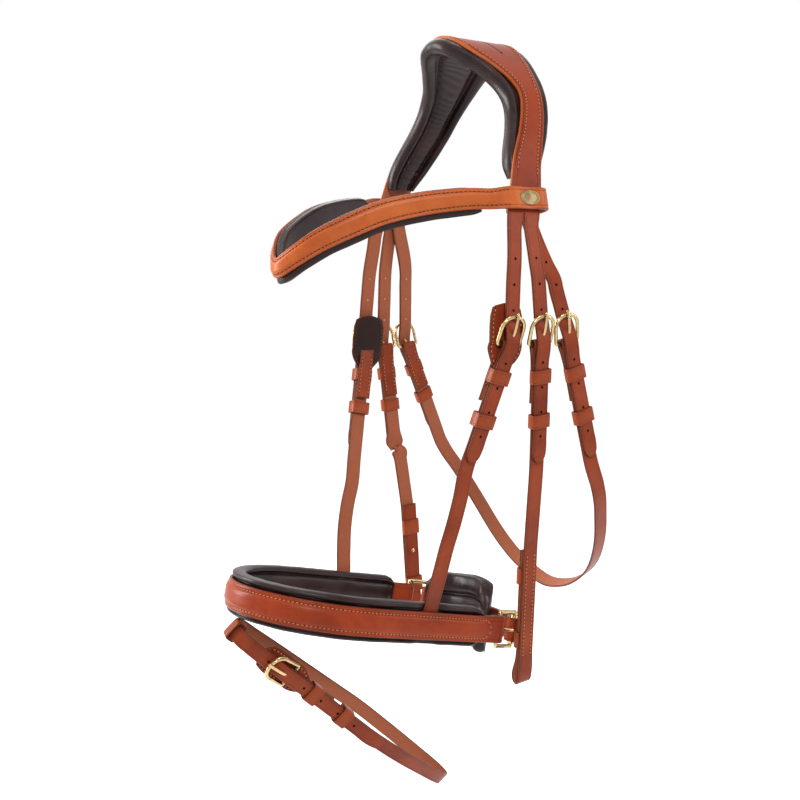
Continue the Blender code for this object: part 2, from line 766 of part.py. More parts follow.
def keeper_mesh(name, half, low, high, height, thick=KEEPER_THICK):
    """A leather band round a stack of straps that spans low to high outward."""
    inner = [(half, low), (half, high), (-half, high), (-half, low)]
    wide, under, over = half + thick, low - thick, high + thick
    cut = KEEPER_CHAMFER
    outer = [
        (wide - cut, under), (wide, under + cut), (wide, over - cut), (wide - cut, over),
        (-wide + cut, over), (-wide, over - cut), (-wide, under + cut), (-wide + cut, under),
    ]
    shape = bmesh.new()
    ends = []
    for y in (-height / 2, height / 2):
        ends.append((
            [shape.verts.new((x, y, z)) for x, z in inner],
            [shape.verts.new((x, y, z)) for x, z in outer],
        ))
    for inside, outside in ends:
        for index in range(4):
            corner, follow = outside[2 * index + 1], outside[(2 * index + 2) % 8]
            shape.faces.new((inside[index], outside[2 * index], corner))
            shape.faces.new((inside[index], corner, follow, inside[(index + 1) % 4]))
    for ring, count in ((0, 4), (1, 8)):
        first, last = ends[0][ring], ends[1][ring]
        for index in range(count):
            follow = (index + 1) % count
            shape.faces.new((first[index], first[follow], last[follow], last[index]))
    return finish_mesh(name, shape)


def stack_keeper(name, seat, u, fold):
    """A keeper round billet, strap, folded end and any guard at a place below a buckle."""
    spots = (u - KEEPER_HEIGHT / 2, u, u + KEEPER_HEIGHT / 2)
    if -spots[0] < fold.lap + CLEARANCE:
        low = min(fold.lap_n(spot) for spot in spots) - fold.thick / 2
    else:
        low = fold.flat - fold.thick / 2
        if fold.under:
            low = min(low, GUARD_LOW_N - GUARD_THICK / 2)
    high = max(billet_n(spot) for spot in spots) + BILLET_THICK / 2
    half = fold.half + KEEPER_ROOM
    mesh = keeper_mesh(name, half, low - KEEPER_ROOM, high + KEEPER_ROOM, KEEPER_HEIGHT)
    return put(name, mesh, seat.matrix(u), leather(name, ORANGE_TAN))


def guard(name, seat, fold, rise, drop, half_width):
    """A shaped leather under a buckle, slotted where the strap's end passes through it."""
    opening = fold.half + CLEARANCE
    widest = max(half_width, opening + GUARD_THICK)
    sections, kinds = [], []
    for share, width in GUARD_SHARES:
        half = half_width * width
        sections.append(flat_section(seat, rise * share, guard_n(rise * share), half,
                                     GUARD_THICK))
        kinds.append("solid")
    for u in (fold.radius + STRAP_THICK, 0.0, -LAP_MERGE / 2, -LAP_MERGE):
        columns = (-widest, -opening, opening, widest)
        sections.append(flat_section(seat, u, guard_n(u), widest, GUARD_THICK, columns))
        kinds.append("open")
    kinds[-1] = "solid"
    for share, width in GUARD_FOOT_SHARES:
        u = drop * share
        half = max(half_width * width, fold.half)
        sections.append(flat_section(seat, u, guard_n(u), half, GUARD_THICK))
        kinds.append("solid")
    kinds.pop()
    return put_world(name, band(sections, kinds), seat.point(0, 0), leather(name))


# guides of the straps

def strap_rows(shares, side, lowered):
    return [
        Vector((x * SPREAD * side, y * REACH + lateral * PITCH, -drop * HEIGHT - let * lowered))
        for x, y, lateral, drop, let in shares
    ]


def nose_axes():
    """The noseband ring's own frame: across, back and up out of its plane."""
    turn = Matrix.Rotation(-NOSE_PITCH, 4, "X") @ Matrix.Rotation(-NOSE_ROLL, 4, "Y")
    centre = Vector((0, NOSE_BEHIND_FRONT * math.cos(NOSE_PITCH) - REACH, -NOSE_DROP))
    return Matrix.Translation(centre) @ turn


NOSE_FRAME = nose_axes()
NOSE_ACROSS = (NOSE_FRAME.to_3x3() @ Z_AXIS).normalized()
NOSE_BACKWARD = (NOSE_FRAME.to_3x3() @ Y_AXIS).normalized()


def nose_point(x, y, v=0.0):
    return NOSE_FRAME @ Vector((x, y, v))


def hanger_rows(side, lowered):
    """A hanger's guide, down into its pocket behind the noseband's leather."""
    rows = with_straights(strap_rows(HANGER_SHARES, side, lowered), HANGER_STRAIGHT_ROWS)
    inset = NOSE_LEATHER + 2 * CLEARANCE + STRAP_THICK / 2 + STRAP_FOLD.flat
    x = NOSE_HALF_WIDTH - inset
    top = NOSE_WIDTH / 2
    for v, ease_out in ((top + NOSE_PAD_TOP, 2 * CLEARANCE), (top, 0.0), (0.0, 0.0),
                        (-HANGER_SEAT, 0.0)):
        rows.append(nose_point((x + ease_out) * side, HANGER_PLACE, v))
    return rows


def cheek_rows(side, lowered):
    return with_straights(strap_rows(CHEEK_SHARES, side, lowered), CHEEK_STRAIGHT_ROWS)


def throat_rows(lowered):
    """The throat strap's guide from the near billet, under the jaw, to the far billet."""
    near = with_straights(strap_rows(THROAT_SHARES, 1, 0.0), THROAT_STRAIGHT_ROWS)
    far = strap_rows(THROAT_SHARES, -1, lowered)
    far = [row + Y_AXIS * FAR_LEAN * share for row, share in zip(far, THROAT_LEAN_SHARES)]
    far = with_straights(far, THROAT_STRAIGHT_ROWS)
    return near + far[-2::-1]


def bar_seat(guide, shares, bar_row, side, lowered, down=1):
    """The seat of a strap's buckle, at the bar's row."""
    row = strap_rows(shares[bar_row:bar_row + 1], side, lowered)[0]
    return Seat(guide, guide.nearest(row), down)


def nose_rows():
    """The noseband's guide from the near crank bar round the front to the far ring bar."""
    inset = NOSE_LEATHER / 2 + NOSE_FOLD.flat
    half, depth = NOSE_HALF_WIDTH - inset, NOSE_DEPTH - inset
    start = depth + inset - NOSE_BEHIND_FRONT
    rows = [(NOSE_BACK_HALF, NOSE_BACK)]
    for share in NOSE_SIDE_SHARES:
        rows.append((half, blend(start, NOSE_BACK, share)))
    for step in range(NOSE_FRONT_STEPS + 1):
        angle = math.pi * step / NOSE_FRONT_STEPS
        rows.append((half * math.cos(angle), start - depth * math.sin(angle)))
    mirrored = [(-x, y) for x, y in reversed(rows[:len(NOSE_SIDE_SHARES) + 1])]
    return [nose_point(x, y) for x, y in rows + mirrored]


def crank_rows(near, far):
    """The crank strap's guide from the near roller, behind the jaw, to the far ring."""
    start = NOSE_FRAME.inverted() @ near.bar_matrix(CRANK_DEPTH) @ (Y_AXIS * CRANK_DEPTH)
    end = NOSE_FRAME.inverted() @ far.bar_matrix(CRANK_DEPTH) @ (Y_AXIS * CRANK_DEPTH)
    rows = []
    for bar, shares in ((start, CRANK_SHARES), (end, CRANK_SHARES[-2::-1])):
        rows += [nose_point(bar.x * x, bar.y + CRANK_BOW * y) for x, y in shares]
    return rows


def flash_axes():
    """The flash loop's plane: front point, run down its length, across and up."""
    run = Vector((0, math.cos(FLASH_SLOPE), -math.sin(FLASH_SLOPE)))
    front = nose_point(0, FLASH_INSET - NOSE_BEHIND_FRONT, -NOSE_WIDTH / 2 - FLASH_DROP)
    front += run * OVER_BAR_N
    lift = Vector((0, math.sin(FLASH_SLOPE), math.cos(FLASH_SLOPE)))
    across = X_AXIS * math.cos(FLASH_ROLL) - lift * math.sin(FLASH_ROLL)
    normal = lift * math.cos(FLASH_ROLL) + X_AXIS * math.sin(FLASH_ROLL)
    return front, run, across, normal


def flash_rows():
    """A closed leaf-shaped loop that starts at the front and runs back on the near side."""
    front, run, across, _ = flash_axes()
    near = [(length * FLASH_LENGTH, width * FLASH_SPREAD) for length, width in FLASH_SHARES]
    far = [(length, -width) for length, width in reversed(near[1:-1])]
    rows = [front + run * length + across * width for length, width in near + far + near[:1]]
    return with_straights(rows, (FLASH_STRAIGHT_ROW,))


# headpiece, crown pad and throat billets

def crown_rows():
    """Arch places and edges from the far split over the poll to the near split."""
    near = []
    for x, drop, pad_front, pad_rear, front, rear in CROWN_SHARES:
        arch = Vector((x * SPREAD, CROWN_PAD + CLEARANCE - drop * SPLIT_DROP))
        edges = [share * CROWN_DEPTH for share in (pad_front, pad_rear, front, rear)]
        near.append((arch, edges))
    far = [(Vector((-arch.x, arch.y)), edges) for arch, edges in reversed(near[1:])]
    return far + near


class Arch:
    """The underside line of the crown, in the plane across the head, with its edges."""

    def __init__(self):
        rows = crown_rows()
        self.line = smooth_run([row[0] for row in rows], CROWN_STEPS)
        self.pad = smooth_run([Vector(row[1][:2]) for row in rows], CROWN_STEPS)
        self.leather = smooth_run([Vector(row[1][2:]) for row in rows], CROWN_STEPS)

    def axes(self, index):
        """A point of the line with its outward direction."""
        ahead = self.line[min(index + 1, len(self.line) - 1)]
        behind = self.line[max(index - 1, 0)]
        along = (ahead - behind).normalized()
        return self.line[index], Vector((-along.y, along.x))

    def point(self, index, lift, y):
        place, outward = self.axes(index)
        spot = place + outward * lift
        return Vector((spot.x, y, spot.y))


def crown_section(arch, index):
    front, rear = arch.leather[index]
    slit = SLIT_WIDTH / 2
    middle = (front + rear) / 2
    share = ease((CROWN_PAD - arch.line[index].y) / SPLIT_DROP)
    thick = blend(CROWN_LEATHER, BILLET_THICK, share)
    return [
        (arch.point(index, thick, y), arch.point(index, 0.0, y))
        for y in (front, middle - slit, middle + slit, rear)
    ]


def billet_pair(seats, side):
    """The hanger and cheek billets below a split, as sections of two halves each."""
    runs = []
    for seat in seats:
        top = seat.distance - SLIT_WIDTH
        below = BELOW_HOLES
        runs.append(billet_run(seat, top, BILLET_TIP_LENGTH, BILLET_WIDTH / 2, BILLET_THICK,
                               ABOVE_HOLES, below))
    sections = [first + last for first, last in zip(runs[0][0], runs[1][0])]
    kinds = [list(pair) for pair in zip(runs[0][1], runs[1][1])]
    if side < 0:
        return sections[::-1], kinds[::-1]
    return sections, kinds


def headpiece(arch, seats):
    """One leather from the far billet tips over the poll to the near billet tips."""
    far, far_kinds = billet_pair(seats[-1], -1)
    near, near_kinds = billet_pair(seats[1], 1)
    crown = [crown_section(arch, index) for index in range(len(arch.line))]
    crown_kinds = []
    for first, last in zip(arch.line, arch.line[1:]):
        slit = max(abs(first.x), abs(last.x)) <= POLL_SLIT_HALF
        crown_kinds.append("open" if slit else "solid")
    parted = [[None, None]]
    kinds = far_kinds + parted + crown_kinds + parted + near_kinds
    shape = band(far + crown + near, kinds)
    return put_world("headpiece", shape, Vector(), leather("headpiece"))


def crown_pad(arch):
    ends = [index for index, place in enumerate(arch.line) if CROWN_PAD - place.y < PAD_END_DROP]
    run = [(arch.line[index], index) for index in range(ends[0], ends[-1] + 1)]
    total = len(run) - 1
    rings = []
    for step, (_, index) in enumerate(run):
        front, rear = arch.pad[index]
        share = END_SHARES[min(step, total - step, len(END_SHARES) - 1)]
        middle, half = (front + rear) / 2, (rear - front) / 2
        rings.append([
            arch.point(index, (depth * CROWN_PAD) * share - CLEARANCE, middle + half * w * share)
            for w, depth in CROWN_PAD_SHARES
        ])
    return put_world("crown_pad", loft(rings), Vector(), padding("crown_pad"))


def throat_billet(name, seat, near):
    """A billet sewn under the headpiece's edge, through the browband's loop to its buckle."""
    top = seat.distance if near else seat.guide.total - seat.distance
    holes = ABOVE_HOLES
    sections, kinds = billet_run(seat, top, BILLET_TIP_LENGTH, BILLET_WIDTH / 2, BILLET_THICK,
                                 holes, BELOW_HOLES)
    shape = band(sections, [kind or "solid" for kind in kinds])
    return put_world(name, shape, seat.point(0, 0), leather(name))


# browband

def loop_axes(arch, side):
    """The place where a browband loop goes round the headpiece, with its directions."""
    indices = range(len(arch.line) - 1)
    for index in (reversed(indices) if side > 0 else indices):
        high, low = arch.line[index].y, arch.line[index + 1].y
        if min(high, low) <= -LOOP_DROP <= max(high, low):
            share = (-LOOP_DROP - high) / (low - high)
            place = blend(arch.line[index], arch.line[index + 1], share)
            along = (arch.line[index + 1] - arch.line[index]).normalized()
            edges = blend(arch.leather[index], arch.leather[index + 1], share)
            outward = Vector((-along.y, 0, along.x))
            down = Vector((along.x, 0, along.y)) * side
            return Vector((place.x, 0, place.y)), outward, down, edges
    raise ValueError("the loop lies below the split")


def loop_sections(arch, side):
    """Sections round the headpiece from the inner end, rearward, then forward outside."""
    place, outward, down, (front, rear) = loop_axes(arch, side)
    wide = BROW_THICK / 2 + CLEARANCE
    outer = BILLET_THICK + LOOP_SLACK + wide
    inner = -(BILLET_THICK + 3 * LOOP_SLACK + wide)
    turn = min(wide + CLEARANCE, (outer - inner) / 2)
    rear += LOOP_REAR
    path = [(front + LOOP_START, inner), (rear - turn, inner)]
    for step in range(1, 6):
        angle = math.pi * step / 6
        middle, reach = (outer + inner) / 2, (outer - inner) / 2
        path.append((rear + turn * (math.sin(angle) * 2 - 1), middle - reach * math.cos(angle)))
    path += [(rear - turn, outer), ((front + rear) / 2, outer), (front - LOOP_LEAD, outer)]
    sections = []
    for index, (y, n) in enumerate(path):
        before, after = path[max(index - 1, 0)], path[min(index + 1, len(path) - 1)]
        along = Vector((after[0] - before[0], after[1] - before[1])).normalized()
        normal = outward * -along.x + Y_AXIS * along.y
        centre = place + outward * n + Y_AXIS * y
        half = down * LOOP_HEIGHT / 2
        sections.append([
            (centre + half * share - normal * BROW_THICK / 2 * -1,
             centre + half * share + normal * BROW_THICK / 2 * -1)
            for share in BROW_COLUMN_SHARES
        ])
    return sections


def brow_line():
    near = [Vector((x * SPREAD, y * BROW_REACH, -LOOP_DROP - dip * BROW_DIP))
            for x, y, dip, _ in BROW_SHARES]
    far = [Vector((-row.x, row.y, row.z)) for row in reversed(near[1:])]
    heights = [Vector((height * BROW_HEIGHT, 0)) for *_, height in BROW_SHARES]
    heights = list(reversed(heights[1:])) + heights
    return smooth_run(far + near, BROW_STEPS), [h.x for h in smooth_run(heights, BROW_STEPS)]


def brow_axes(line, index):
    ahead = line[min(index + 1, len(line) - 1)]
    behind = line[max(index - 1, 0)]
    along = (ahead - behind).normalized()
    outward = along.cross(Z_AXIS).normalized() * -1
    if outward.dot(line[index] - Vector((0, 0, line[index].z))) < 0:
        outward *= -1
    up = outward.cross(along).normalized()
    return outward, up if up.z > 0 else up * -1


def browband(arch):
    line, heights = brow_line()
    sections = []
    for index, place in enumerate(line):
        outward, up = brow_axes(line, index)
        section = []
        for column, share in enumerate(BROW_COLUMN_SHARES):
            raised = BROW_CROWN if column in (1, 2) else 0.0
            spot = place - up * share * heights[index] / 2
            section.append((spot + outward * (BROW_THICK / 2 + raised),
                            spot - outward * BROW_THICK / 2))
        sections.append(section)
    sections = loop_sections(arch, -1) + sections + loop_sections(arch, 1)[::-1]
    shape = band(sections, ["solid"] * (len(sections) - 1))
    return put_world("browband", shape, Vector(), leather("browband", ORANGE_TAN))


def browband_pad():
    line, heights = brow_line()
    skip = 1
    chosen = range(skip, len(line) - skip)
    rings = []
    for step, index in enumerate(chosen):
        outward, up = brow_axes(line, index)
        half = (heights[index] + BROW_PAD_LIP) / 2
        share = END_SHARES[min(step, len(chosen) - 1 - step, len(END_SHARES) - 1)]
        centre = line[index] - up * BROW_PAD_LIP / 2
        face = -(BROW_THICK / 2 + 2 * CLEARANCE)
        rings.append([
            centre + up * half * w * share + outward * (face + depth * BROW_PAD * share)
            for w, depth in BROW_PAD_SHARES
        ])
    return put_world("browband_pad", loft(rings), Vector(), padding("browband_pad"))


def badge(name, arch, side):
    """A plain oval badge on the outer face of a browband loop."""
    place, outward, down, (front, rear) = loop_axes(arch, side)
    face = BILLET_THICK + LOOP_SLACK + BROW_THICK + 2 * CLEARANCE
    centre = place + Y_AXIS * (front + rear) / 2 + outward * face
    rings = []
    for lift, share in ((0.0, 1.0), (BADGE_THICK / 2, 1.0), (BADGE_THICK, BADGE_EDGE_SHARE)):
        ring = []
        for step in range(BADGE_SIDES):
            angle = 2 * math.pi * step / BADGE_SIDES
            along = Y_AXIS * math.cos(angle) * BADGE_LENGTH / 2
            up = down * math.sin(angle) * BADGE_HEIGHT / 2
            ring.append(centre + (along + up) * share + outward * lift)
        rings.append(ring)
    return put_world(name, loft(rings), centre, brass(name))


# noseband, crank closure and chin pad

def noseband(guide):
    near, near_kinds = NOSE_FOLD.run(Seat(guide, 0.0, 1))
    far, far_kinds = NOSE_FOLD.run(Seat(guide, guide.total, -1))
    near, near_kinds = near[::-1], near_kinds[::-1]
    start, end = NOSE_FOLD.merge, guide.total - NOSE_FOLD.merge
    steps = NOSE_STATIONS
    middle = []
    half = NOSE_WIDTH / 2
    seat = Seat(guide, 0.0, -1)
    for step in range(1, steps):
        distance = blend(start, end, step / steps)
        rise = ease((min(distance - start, end - distance)) / NOSE_WIDTH)
        inner = half * NOSE_RAISED_SHARE
        middle.append(flat_section(seat, distance, NOSE_FOLD.flat, half, NOSE_LEATHER,
                                   (-half, -inner, inner, half), NOSE_CROWN * rise))
    sections = near + middle + far
    kinds = near_kinds + ["solid"] * steps + far_kinds
    return put_world("noseband", band(sections, kinds), nose_point(0, 0), leather("noseband"))


def noseband_pad(guide, hanger_places):
    """The lining inside the noseband, hollowed where each hanger enters behind the leather."""
    start = NOSE_BACK - NOSE_PAD_END
    steps = NOSE_STATIONS
    seat = Seat(guide, 0.0, -1)
    top, bottom = NOSE_WIDTH / 2 + NOSE_PAD_TOP, -NOSE_WIDTH / 2 - NOSE_PAD_BOTTOM
    middle, half = (top + bottom) / 2, (top - bottom) / 2
    face = NOSE_FOLD.flat - NOSE_LEATHER / 2 - CLEARANCE
    recess = STRAP_THICK + 3 * CLEARANCE
    stops = {blend(start, guide.total - start, step / steps) for step in range(steps + 1)}
    reach = STRAP_WIDTH / 2 + CLEARANCE
    for place in hanger_places:
        stops = {stop for stop in stops if abs(stop - place) > reach + RECESS_SLOPE}
        for edge in (reach, reach + RECESS_SLOPE):
            stops |= {place - edge, place + edge}
    rings = []
    ordered = sorted(stops)
    for step, distance in enumerate(ordered):
        share = END_SHARES[min(step, len(ordered) - 1 - step, len(END_SHARES) - 1)]
        sunk = any(abs(distance - place) < reach + CLEARANCE for place in hanger_places)
        outer = face - (recess if sunk else 0.0)
        depth_left = NOSE_PAD - (recess if sunk else 0.0)
        rings.append([
            seat.point(distance, outer + depth * depth_left * share, middle + half * w * share)
            for w, depth in NOSE_PAD_SHARES
        ])
    return put_world("noseband_pad", loft(rings), nose_point(0, 0), padding("noseband_pad"))


def square_ring(name):
    """A square frame of round bar: front bar on the local x axis, rear bar beyond it."""
    half = NOSE_WIDTH / 2 + CLEARANCE + CRANK_ROOM + CRANK_BAR
    corner = CRANK_BAR
    path = []
    for x, y in ((half, 0.0), (half, CRANK_DEPTH), (-half, CRANK_DEPTH), (-half, 0.0)):
        inward = -corner if y else corner
        side = -corner if x > 0 else corner
        pair = [Vector((x + side, y, 0)), Vector((x, y + inward, 0))]
        path += pair if (x > 0) != (y > 0) else pair[::-1]
    return finish_mesh(name, tube(path, CRANK_BAR, Z_AXIS, CRANK_SIDES))


def roller_mesh(name):
    half = NOSE_WIDTH / 2 + CRANK_ROOM
    bore = CRANK_BAR + CLEARANCE
    rings = []
    for step in range(ROLLER_SIDES):
        angle = 2 * math.pi * step / ROLLER_SIDES
        radial = Y_AXIS * math.cos(angle) + Z_AXIS * math.sin(angle)
        rings.append([X_AXIS * x + radial * r for x, r in (
            (-half, bore), (-half, ROLLER_RADIUS), (half, ROLLER_RADIUS), (half, bore))])
    return finish_mesh(name, loft(rings, True))


def crank_strap(guide):
    """The strap behind the jaw: round the near roller and back, and folded on the far ring."""
    near, near_kinds = ROLLER_FOLD.run(Seat(guide, 0.0, 1))
    far, far_kinds = RING_FOLD.run(Seat(guide, guide.total, -1))
    near, near_kinds = near[::-1], near_kinds[::-1]
    seat = Seat(guide, 0.0, -1)
    half = CRANK_STRAP_WIDTH / 2
    flat = ROLLER_FOLD.flat
    start, end = ROLLER_FOLD.merge, guide.total - RING_FOLD.merge
    steps = CRANK_STATIONS
    outer, under = [], []
    stop = guide.total - RING_FOLD.lap - CRANK_STRAP_THICK
    for step in range(1, steps):
        distance = blend(start, end, step / steps)
        outer.append(flat_section(seat, distance, flat, half, CRANK_STRAP_THICK))
        distance = blend(start, stop, step / steps)
        under.append(flipped(flat_section(seat, distance, -flat, half, CRANK_STRAP_THICK)))
    tip = flipped(flat_section(seat, stop, -flat, half, CRANK_STRAP_THICK))
    sections = [tip] + under[::-1] + near[1:] + outer + far
    kinds = ["solid"] * (steps - 1) + near_kinds + ["solid"] * steps + far_kinds
    return put_world("crank_strap", band(sections, kinds), guide.place(0), leather("crank_strap"))


def chin_rows(guide):
    """The chin pad's rear face: behind it at the middle lies the crank strap."""
    loop = KEEPER_THICK + 2 * CLEARANCE
    depth = ROLLER_FOLD.flat + CRANK_STRAP_THICK / 2 + loop
    middle = NOSE_FRAME.inverted() @ Seat(guide, guide.total / 2, -1).point(0.0, -depth)
    rows = [(CHIN_HALF * x, middle.y - CHIN_BOW * y) for x, y in CHIN_SHARES]
    rows += [(-x, y) for x, y in reversed(rows[:-1])]
    return [nose_point(x, y, CHIN_LIFT + x * math.tan(CHIN_TILT)) for x, y in rows]


def chin_pad(guide):
    """The padded chin piece in front of the crank strap, with two channels and rolled ends."""
    line = Guide(chin_rows(guide), NOSE_ACROSS, 1)
    seat = Seat(line, line.total / 2, -1)
    rings = []
    for step in range(CHIN_STATIONS + 1):
        u = CHIN_LENGTH * (step / CHIN_STATIONS - 1 / 2)
        share = CHIN_END_SHARES[min(step, CHIN_STATIONS - step, len(CHIN_END_SHARES) - 1)]
        drawn = 1 - (1 - share) * CHIN_END_DRAW_SHARE
        rings.append([
            seat.point(u, (depth * share - (1 - share) / 2) * CHIN_THICK,
                       CHIN_HEIGHT / 2 * w * drawn)
            for w, depth in CHIN_PAD_SHARES
        ])
    return put_world("chin_pad", loft(rings), line.place(line.total / 2), padding("chin_pad"))


def chin_loop(guide):
    """A leather loop behind the chin pad, round both layers of the crank strap."""
    deep = ROLLER_FOLD.flat + CRANK_STRAP_THICK / 2 + CLEARANCE
    half = CRANK_STRAP_WIDTH / 2 + KEEPER_ROOM
    mesh = keeper_mesh("chin_loop", half, -deep, deep + CLEARANCE, CHIN_LOOP_WIDTH)
    return put("chin_loop", mesh, Seat(guide, guide.total / 2, -1).matrix(), leather("chin_loop"))


# cheekpieces and hangers

def strap_stations(seat, start, end, fold):
    """Flat sections down a strap from start to end, given as distances below its buckle."""
    places = seat.guide.stations(seat.distance + start, seat.distance + end)
    return [
        flat_section(seat, seat.distance - place, fold.flat, fold.half, fold.thick)
        for place in places[1:]
    ]


def hanger(name, guide, seat):
    sections, kinds = GUARDED_FOLD.run(seat)
    sections = sections[::-1]
    length = guide.total - seat.distance
    lower = strap_stations(seat, GUARDED_FOLD.merge, length, GUARDED_FOLD)
    shape = band(sections + lower, kinds[::-1] + ["solid"] * len(lower))
    return put_world(name, shape, seat.point(0, 0), leather(name))


def cheekpiece(name, guide, seat):
    """A cheek strap folded at the bit end, with its turned-up end hooked on a stud."""
    upper, upper_kinds = STRAP_FOLD.run(seat)
    length = guide.total - seat.distance - FOLD_REACH
    half, thick, flat = STRAP_FOLD.half, STRAP_THICK, STRAP_FOLD.flat
    lower = strap_stations(seat, STRAP_FOLD.merge, length, STRAP_FOLD)
    sections = upper[::-1] + lower
    reach = (thick + BIT_GAP) / 2
    for step in range(1, WRAP_STEPS):
        angle = math.pi * step / WRAP_STEPS
        centre_n = flat - reach + reach * math.cos(angle)
        u = -length - FOLD_REACH * math.sin(angle)
        tilt_u, tilt_n = -math.sin(angle) * thick / 2, math.cos(angle) * thick / 2
        sections.append([
            (seat.point(u + tilt_u, centre_n + tilt_n, w),
             seat.point(u - tilt_u, centre_n - tilt_n, w))
            for w in (-half, half)
        ])
    hole = HOLE_WIDTH / 2 + CLEARANCE
    stud = STUD_RISE - FOLD_REACH
    bulge = [BIT_BULGE * step / BULGE_STEPS for step in range(BULGE_STEPS + 1)]
    for stop in bulge + [stud - 2 * hole, stud + 2 * hole, TURN_UP - FOLD_REACH]:
        n = blend(flat - 2 * reach, turned_up_n(), ease(stop / BIT_BULGE))
        sections.append(flipped(flat_section(seat, stop - length, n, half, thick)))
    kinds = upper_kinds[::-1] + ["solid"] * (len(lower) + WRAP_STEPS + BULGE_STEPS + 1)
    kinds += [(hole, hole), "solid"]
    return put_world(name, band(sections, kinds), seat.point(0, 0), leather(name))


def turned_up_n():
    """The turned-up end's middle line, behind the main strap and a keeper's inner leg."""
    return STRAP_FOLD.flat - STRAP_THICK - KEEPER_THICK - 2 * CLEARANCE - KEEPER_ROOM


def hook_stud(name, seat, guide):
    """A brass stud on the main strap's inner face, through the turned-up end to its head."""
    u = -(guide.total - STUD_RISE - seat.distance)
    base = STRAP_FOLD.flat - STRAP_THICK / 2 - CLEARANCE
    inner = turned_up_n() - STRAP_THICK / 2 - CLEARANCE
    head = STUD_HEAD / 2
    profile = ((base, head), (base - STUD_BASE, head), (base - STUD_BASE, STUD_STEM),
               (inner, STUD_STEM), (inner, head), (inner - STUD_CAP, head * STUD_CAP_SHARE))
    rings = [
        [Vector((math.cos(angle) * r, math.sin(angle) * r, n)) for angle in (
            2 * math.pi * step / STUD_SIDES for step in range(STUD_SIDES))]
        for n, r in profile
    ]
    return put(name, finish_mesh(name, loft(rings)), seat.matrix(u), brass(name))


def lower_keeper(name, seat, guide, rise):
    """A keeper round the turned-up end only, between it and the main strap."""
    u = -(guide.total - rise - seat.distance)
    middle = turned_up_n()
    reach = STRAP_THICK / 2 + CLEARANCE
    mesh = keeper_mesh(name, STRAP_FOLD.half + KEEPER_ROOM, middle - reach, middle + reach,
                       LOWER_KEEPER_HEIGHT)
    return put(name, mesh, seat.matrix(u), leather(name, ORANGE_TAN))


def throatlatch(guide, seats):
    near, near_kinds = STRAP_FOLD.run(seats[1])
    far, far_kinds = STRAP_FOLD.run(seats[-1])
    start = seats[1].distance + STRAP_FOLD.merge
    end = seats[-1].distance - STRAP_FOLD.merge
    seat = Seat(guide, 0.0, -1)
    middle = [
        flat_section(seat, place, STRAP_FOLD.flat, STRAP_FOLD.half, STRAP_THICK)
        for place in guide.stations(start, end)[1:-1]
    ]
    solid = ["solid"] * (len(middle) + 1)
    shape = band(near[::-1] + middle + far, near_kinds[::-1] + solid + far_kinds)
    return put_world("throatlatch", shape, seats[1].point(0, 0), leather("throatlatch"))


def buckled(name, seat, fold, meshes):
    """The buckle, tongue and two keepers of one fastening."""
    place = seat.bar_matrix(fold.reach)
    put(name + "_buckle", meshes[0], place, brass("buckle"))
    put(name + "_tongue", meshes[1], place, brass("tongue"))
    stack_keeper(name + "_keeper", seat, -FIXED_KEEPER_DROP, fold)
    runner = FAR_RUNNER_DROP if "_far" in name else RUNNER_DROP
    stack_keeper(name + "_runner", seat, -runner, fold)


# flash strap

def flash_strap(guide, seat):
    """One strap: from its tip through the buckle, round the loop and back to the buckle."""
    folded, fold_kinds = FLASH_FOLD.run(seat)
    half = FLASH_WIDTH / 2
    start = seat.distance + FLASH_FOLD.merge
    end = seat.distance + guide.total - FLASH_REACH_UP
    ring = Seat(guide, 0.0, -1)
    round_run = []
    for distance in guide.stations(start, end)[1:]:
        share = ease((distance / guide.total - FLASH_RISE_SHARES[0]) / FLASH_RISE_SHARES[1])
        n = blend(FLASH_FOLD.flat, OVER_BAR_N, share)
        thick = blend(STRAP_THICK, BILLET_THICK, share)
        round_run.append(flat_section(ring, distance, n, half, thick))
    billet, billet_kinds = billet_run(seat, FLASH_REACH_UP, FLASH_TIP_LENGTH, half,
                                      BILLET_THICK, FLASH_ABOVE_HOLES, FLASH_BELOW_HOLES)
    sections = folded[::-1] + round_run[:-1] + billet
    kinds = fold_kinds[::-1] + ["solid"] * len(round_run)
    kinds += [kind or "solid" for kind in billet_kinds]
    shape = band(sections, kinds)
    return put_world("flash_strap", shape, flash_hinge(guide), leather("flash_strap"))


def flash_hinge(guide):
    """The seam at the loop's front top edge, about which the flash strap swings."""
    top = FLASH_WIDTH / 2 + KEEPER_ROOM + FLASH_LOOP_THICK
    front = BILLET_THICK / 2 + FLASH_LOOP_ROOM + FLASH_LOOP_THICK
    return Seat(guide, 0.0, -1).point(0.0, OVER_BAR_N + front, top)


def flash_loop(guide):
    """The leather loop under the noseband's front that carries the flash strap."""
    seat = Seat(guide, 0.0, -1)
    reach = BILLET_THICK / 2 + FLASH_LOOP_ROOM
    mesh = keeper_mesh("flash_loop", FLASH_WIDTH / 2 + KEEPER_ROOM, OVER_BAR_N - reach,
                       OVER_BAR_N + reach, FLASH_LOOP_HEIGHT, FLASH_LOOP_THICK)
    return put("flash_loop", mesh, seat.matrix(0.0), leather("flash_loop"))


